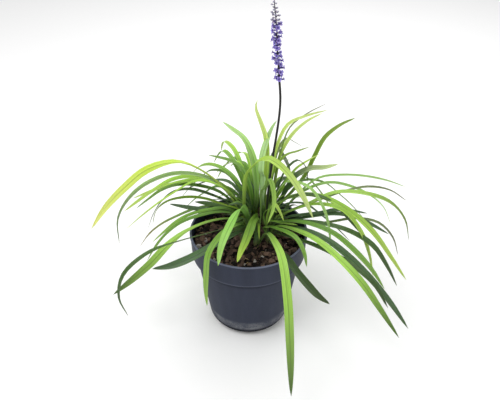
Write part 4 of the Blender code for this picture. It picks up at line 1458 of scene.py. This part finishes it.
@dataclass
class BarkSoil:
    """The potting soil: a rough crumbly bed with bark chips, a few pale stones and straw bits."""

    level: float = 157.0 * MM
    edge_radius: float = 90.2 * MM
    sides: int = 120
    rings: int = 34
    mound_height: float = 2.4
    swell_height: float = 1.5
    crumb_pitch: float = 1.0 / 180.0
    chips: Litter = Litter(620, (5.0 * MM, 15.0 * MM), 0.9, 1.5 * MM, (-0.05, 0.6))
    crumbs: Litter = Litter(700, (1.4 * MM, 3.6 * MM), 3.0, 0.9 * MM, (0.0, 0.4))
    straws: Litter = Litter(46, (5.0 * MM, 11.0 * MM), 0.5, 3.4 * MM, (0.1, 0.5))
    stones: Litter = Litter(26, (2.5 * MM, 6.0 * MM), 3.0, 2.8 * MM, (0.1, 0.5))
    large_stones: tuple[tuple[float, float, float], ...] = (
        (-80, -24, 11), (-76, -38, 9), (-70, -6, 9), (-62, -30, 7), (10, -58, 7), (22, -50, 6)
    )
    pot: NurseryPot = field(default_factory=NurseryPot)

    def surface(self, x: float, y: float) -> float:
        """Give the soil's height: low mounds, calm near the crown."""
        rough = self.mound_height * math.sin(x * 190.0 + 1.3) * math.cos(y * 170.0)
        rough += self.swell_height * math.sin(x * 330.0 - y * 250.0 + 0.6)
        from_crown = math.hypot(x - CROWN.middle[0], y - CROWN.middle[1]) / MM
        calm = min(1.0, max(0.25, (from_crown - 20.0) / 30.0))
        return self.level + rough * calm * MM

    def bed(self) -> Object:
        """Build the bed: a plug that fills the pot, with a finely broken top.

        Returns:
            The bed.
        """
        gap = 0.3 * MM
        inner = self.pot.body_base_radius - self.pot.wall - gap
        step = self.pot.height - self.pot.band_height
        profile = [
            (inner - 8.0 * MM, self.pot.floor_thickness + gap),
            (inner, self.pot.floor_thickness + 9.0 * MM),
            (self.pot.body_top_radius - self.pot.wall - gap, step),
            (self.edge_radius - 0.6 * MM, step + self.pot.wall + 2.0 * MM),
            (self.edge_radius, self.level - 2.0 * MM),
        ]
        for ring in range(1, self.rings + 1):
            profile.append((max(0.4 * MM, self.edge_radius * (1.0 - ring / self.rings)), self.level))
        bed = turn_profile("soil_bed", profile, self.sides)
        for vert in bed.data.vertices:
            if vert.co.z > self.level - 0.5 * MM:
                point = Vector((vert.co.x / self.crumb_pitch, vert.co.y / self.crumb_pitch, 3.0))
                crumbs = noise.fractal(point, 0.8, 2.1, 4) * 1.7 * MM
                vert.co.z = self.surface(vert.co.x, vert.co.y) + crumbs - 1.2 * MM
        set_attribute(bed, "chip_tone", 0.1)
        return bed

    def flake(self, name: str, seed: int, flatness: float) -> Object:
        """Model one broken flake of unit length.

        Args:
            name: The template's name.
            seed: The seed of its broken corners.
            flatness: Its height.

        Returns:
            The template.
        """
        rng = random.Random(seed)
        flake = primitive(bpy.ops.mesh.primitive_cube_add, name, size=1.0, scale=(1.0, 0.6, flatness))
        bpy.ops.object.mode_set(mode="EDIT")
        bpy.ops.mesh.select_all(action="SELECT")
        bpy.ops.mesh.subdivide(number_cuts=1)
        bpy.ops.object.mode_set(mode="OBJECT")
        for vert in flake.data.vertices:
            wobble = Vector([rng.uniform(-1, 1) for _ in range(3)])
            vert.co *= 1.0 - 0.25 * (vert.co.length > 0.5)
            vert.co += Vector((wobble.x * 0.1, wobble.y * 0.08, wobble.z * flatness * 0.3))
        return flake

    def bit(self, template: Object, place: Vector, turn: Matrix, size: float, tone: float) -> Object:
        """Copy a template to a place.

        Args:
            template: The shape to copy.
            place: Where its middle goes.
            turn: How it is turned.
            size: Its length.
            tone: Its "chip_tone".

        Returns:
            The copy.
        """
        part = placed_copy(template, Matrix.Translation(place) @ turn @ Matrix.Scale(size, 4))
        set_attribute(part, "chip_tone", tone)
        return part

    def scatter(self, templates: Sequence[Object], litter: Litter, rng: random.Random) -> list[Object]:
        """Scatter copies of templates evenly over the open soil.

        Args:
            templates: The shapes to copy.
            litter: How many there are and how they lie.
            rng: The random draw.

        Returns:
            The copies.
        """
        copies = []
        for number in range(litter.count):
            reach = (self.edge_radius - 4.0 * MM) * math.sqrt((number + 0.5) / litter.count)
            angle = number * GOLDEN_ANGLE + rng.uniform(-0.3, 0.3)
            x, y = reach * math.cos(angle), reach * math.sin(angle)
            size = rng.uniform(*litter.sizes)
            turn = Matrix.Rotation(rng.uniform(0, math.tau), 4, "Z")
            for axis in "XY":
                turn = turn @ Matrix.Rotation(rng.uniform(-litter.tilt, litter.tilt), 4, axis)
            place = Vector((x, y, self.surface(x, y) + litter.lift * rng.uniform(0.4, 1.0)))
            template = templates[number % len(templates)]
            copies.append(self.bit(template, place, turn, size, rng.uniform(*litter.tones)))
        return copies

    def build(self) -> list[Object]:
        """Build the bed and scatter what lies on it.

        Returns:
            The finished pieces.
        """
        rng = random.Random(21)
        bed = self.bed()
        dress(bed, CompostedBark("bark_fines_composted", "#100c09", "#43302a", 1.6 * MM, 1.2 * MM).build())
        pieces = [settle(bed, "soil", "soil")]
        flakes = [self.flake(f"flake_{number}", 40 + number, 0.16 + 0.05 * number) for number in range(4)]
        lumps = [self.flake(f"lump_{number}", 60 + number, 0.6) for number in range(2)]
        strip = self.flake("strip", 70, 0.08)
        strip.data.transform(Matrix.Diagonal((1.0, 0.22, 1.0, 1)))
        chips = self.scatter(flakes, self.chips, rng) + self.scatter(lumps, self.crumbs, rng)
        straws = self.scatter([strip], self.straws, rng)
        stones = self.scatter(lumps, self.stones, rng)
        for number, (x, y, size) in enumerate(self.large_stones):
            rest = Vector((x * MM, y * MM, self.surface(x * MM, y * MM) + 0.3 * size * MM))
            turn = Matrix.Rotation(1.1 * number, 4, "Z")
            stones.append(self.bit(lumps[number % 2], rest, turn, size * MM, 0.35))
        remove([*flakes, *lumps, strip])
        bark = CompostedBark("bark_chip_pine", "#130e0b", "#7e6556", 1.1 * MM, 0.6 * MM)
        straw = CompostedBark("straw_dry", "#7b6640", "#cdb684", 0.8 * MM, 0.2 * MM)
        stone = CompostedBark("perlite_dusty", "#77706a", "#c9c4bd", 1.0 * MM, 0.4 * MM)
        names = ("bark_chips", "straw_bits", "perlite_grains")
        for bits, name, finish in zip((chips, straws, stones), names, (bark, straw, stone)):
            piece = joined(bits, name)
            dress(piece, finish.build())
            pieces.append(settle(piece, "soil"))
        return pieces


# --- Studio ---


@dataclass
class Studio:
    """The camera at the photograph's angle, a pale floor and soft lights."""

    camera_place: tuple[float, float, float] = (0.0023, -0.7868, 0.7942)
    camera_pitch: float = 35.4
    lens: float = 44.55
    floor_size: float = 14.0
    world_strength: float = 0.66

    def light(self, name: str, place: tuple[float, float, float], size: float, power: float) -> None:
        """Add a square area light that faces the plant.

        Args:
            name: The light's name.
            place: Where it stands.
            size: Its side in metres.
            power: Its power in watts.
        """
        lamp = bpy.data.lights.new(name, "AREA")
        lamp.size = size
        lamp.energy = power
        obj = bpy.data.objects.new(name, lamp)
        obj.location = place
        obj.rotation_euler = (Vector(place) - Vector((0, 0, 0.2))).to_track_quat("Z", "Y").to_euler()
        bpy.context.collection.objects.link(obj)

    def build(self) -> None:
        """Set up the studio."""
        disc = {"vertices": 64, "radius": self.floor_size / 2, "fill_type": "NGON"}
        floor = primitive(bpy.ops.mesh.primitive_circle_add, "studio_floor", **disc)
        paper = {"Base Color": linear("#ffffff"), "Roughness": 0.95, "Specular IOR Level": 0.1}
        dress(floor, Finish("studio_paper").done(paper))
        self.light("key_softbox", (-0.8, -0.5, 1.7), 1.0, 15.0)
        self.light("fill_softbox", (1.2, -0.6, 1.0), 1.2, 3.0)
        self.light("back_softbox", (0.3, 1.2, 1.5), 1.2, 10.0)
        world = bpy.data.worlds.new("studio_white")
        world.use_nodes = True
        background = world.node_tree.nodes["Background"]
        background.inputs["Color"].default_value = linear("#ffffff")
        background.inputs["Strength"].default_value = self.world_strength
        bpy.context.scene.world = world
        bpy.context.scene.view_settings.view_transform = "Standard"
        data = bpy.data.cameras.new("photo_camera")
        data.sensor_width = 36.0
        data.lens = self.lens
        camera = bpy.data.objects.new("photo_camera", data)
        camera.location = self.camera_place
        camera.rotation_euler = (math.radians(90.0 - self.camera_pitch), 0, 0)
        bpy.context.collection.objects.link(camera)
        bpy.context.scene.camera = camera
        LOG.info("studio: camera, floor and three soft lights")


def main() -> None:
    """Build the plant, its pot and the studio, and report each piece."""
    logging.basicConfig(level=logging.INFO, format="%(name)s: %(message)s")
    Studio().build()
    NurseryPot().build()
    BarkSoil().build()
    LeafTufts().build()
    FlowerStalk().build()
    FlowerHead().build()


if __name__ == "__main__":
    main()
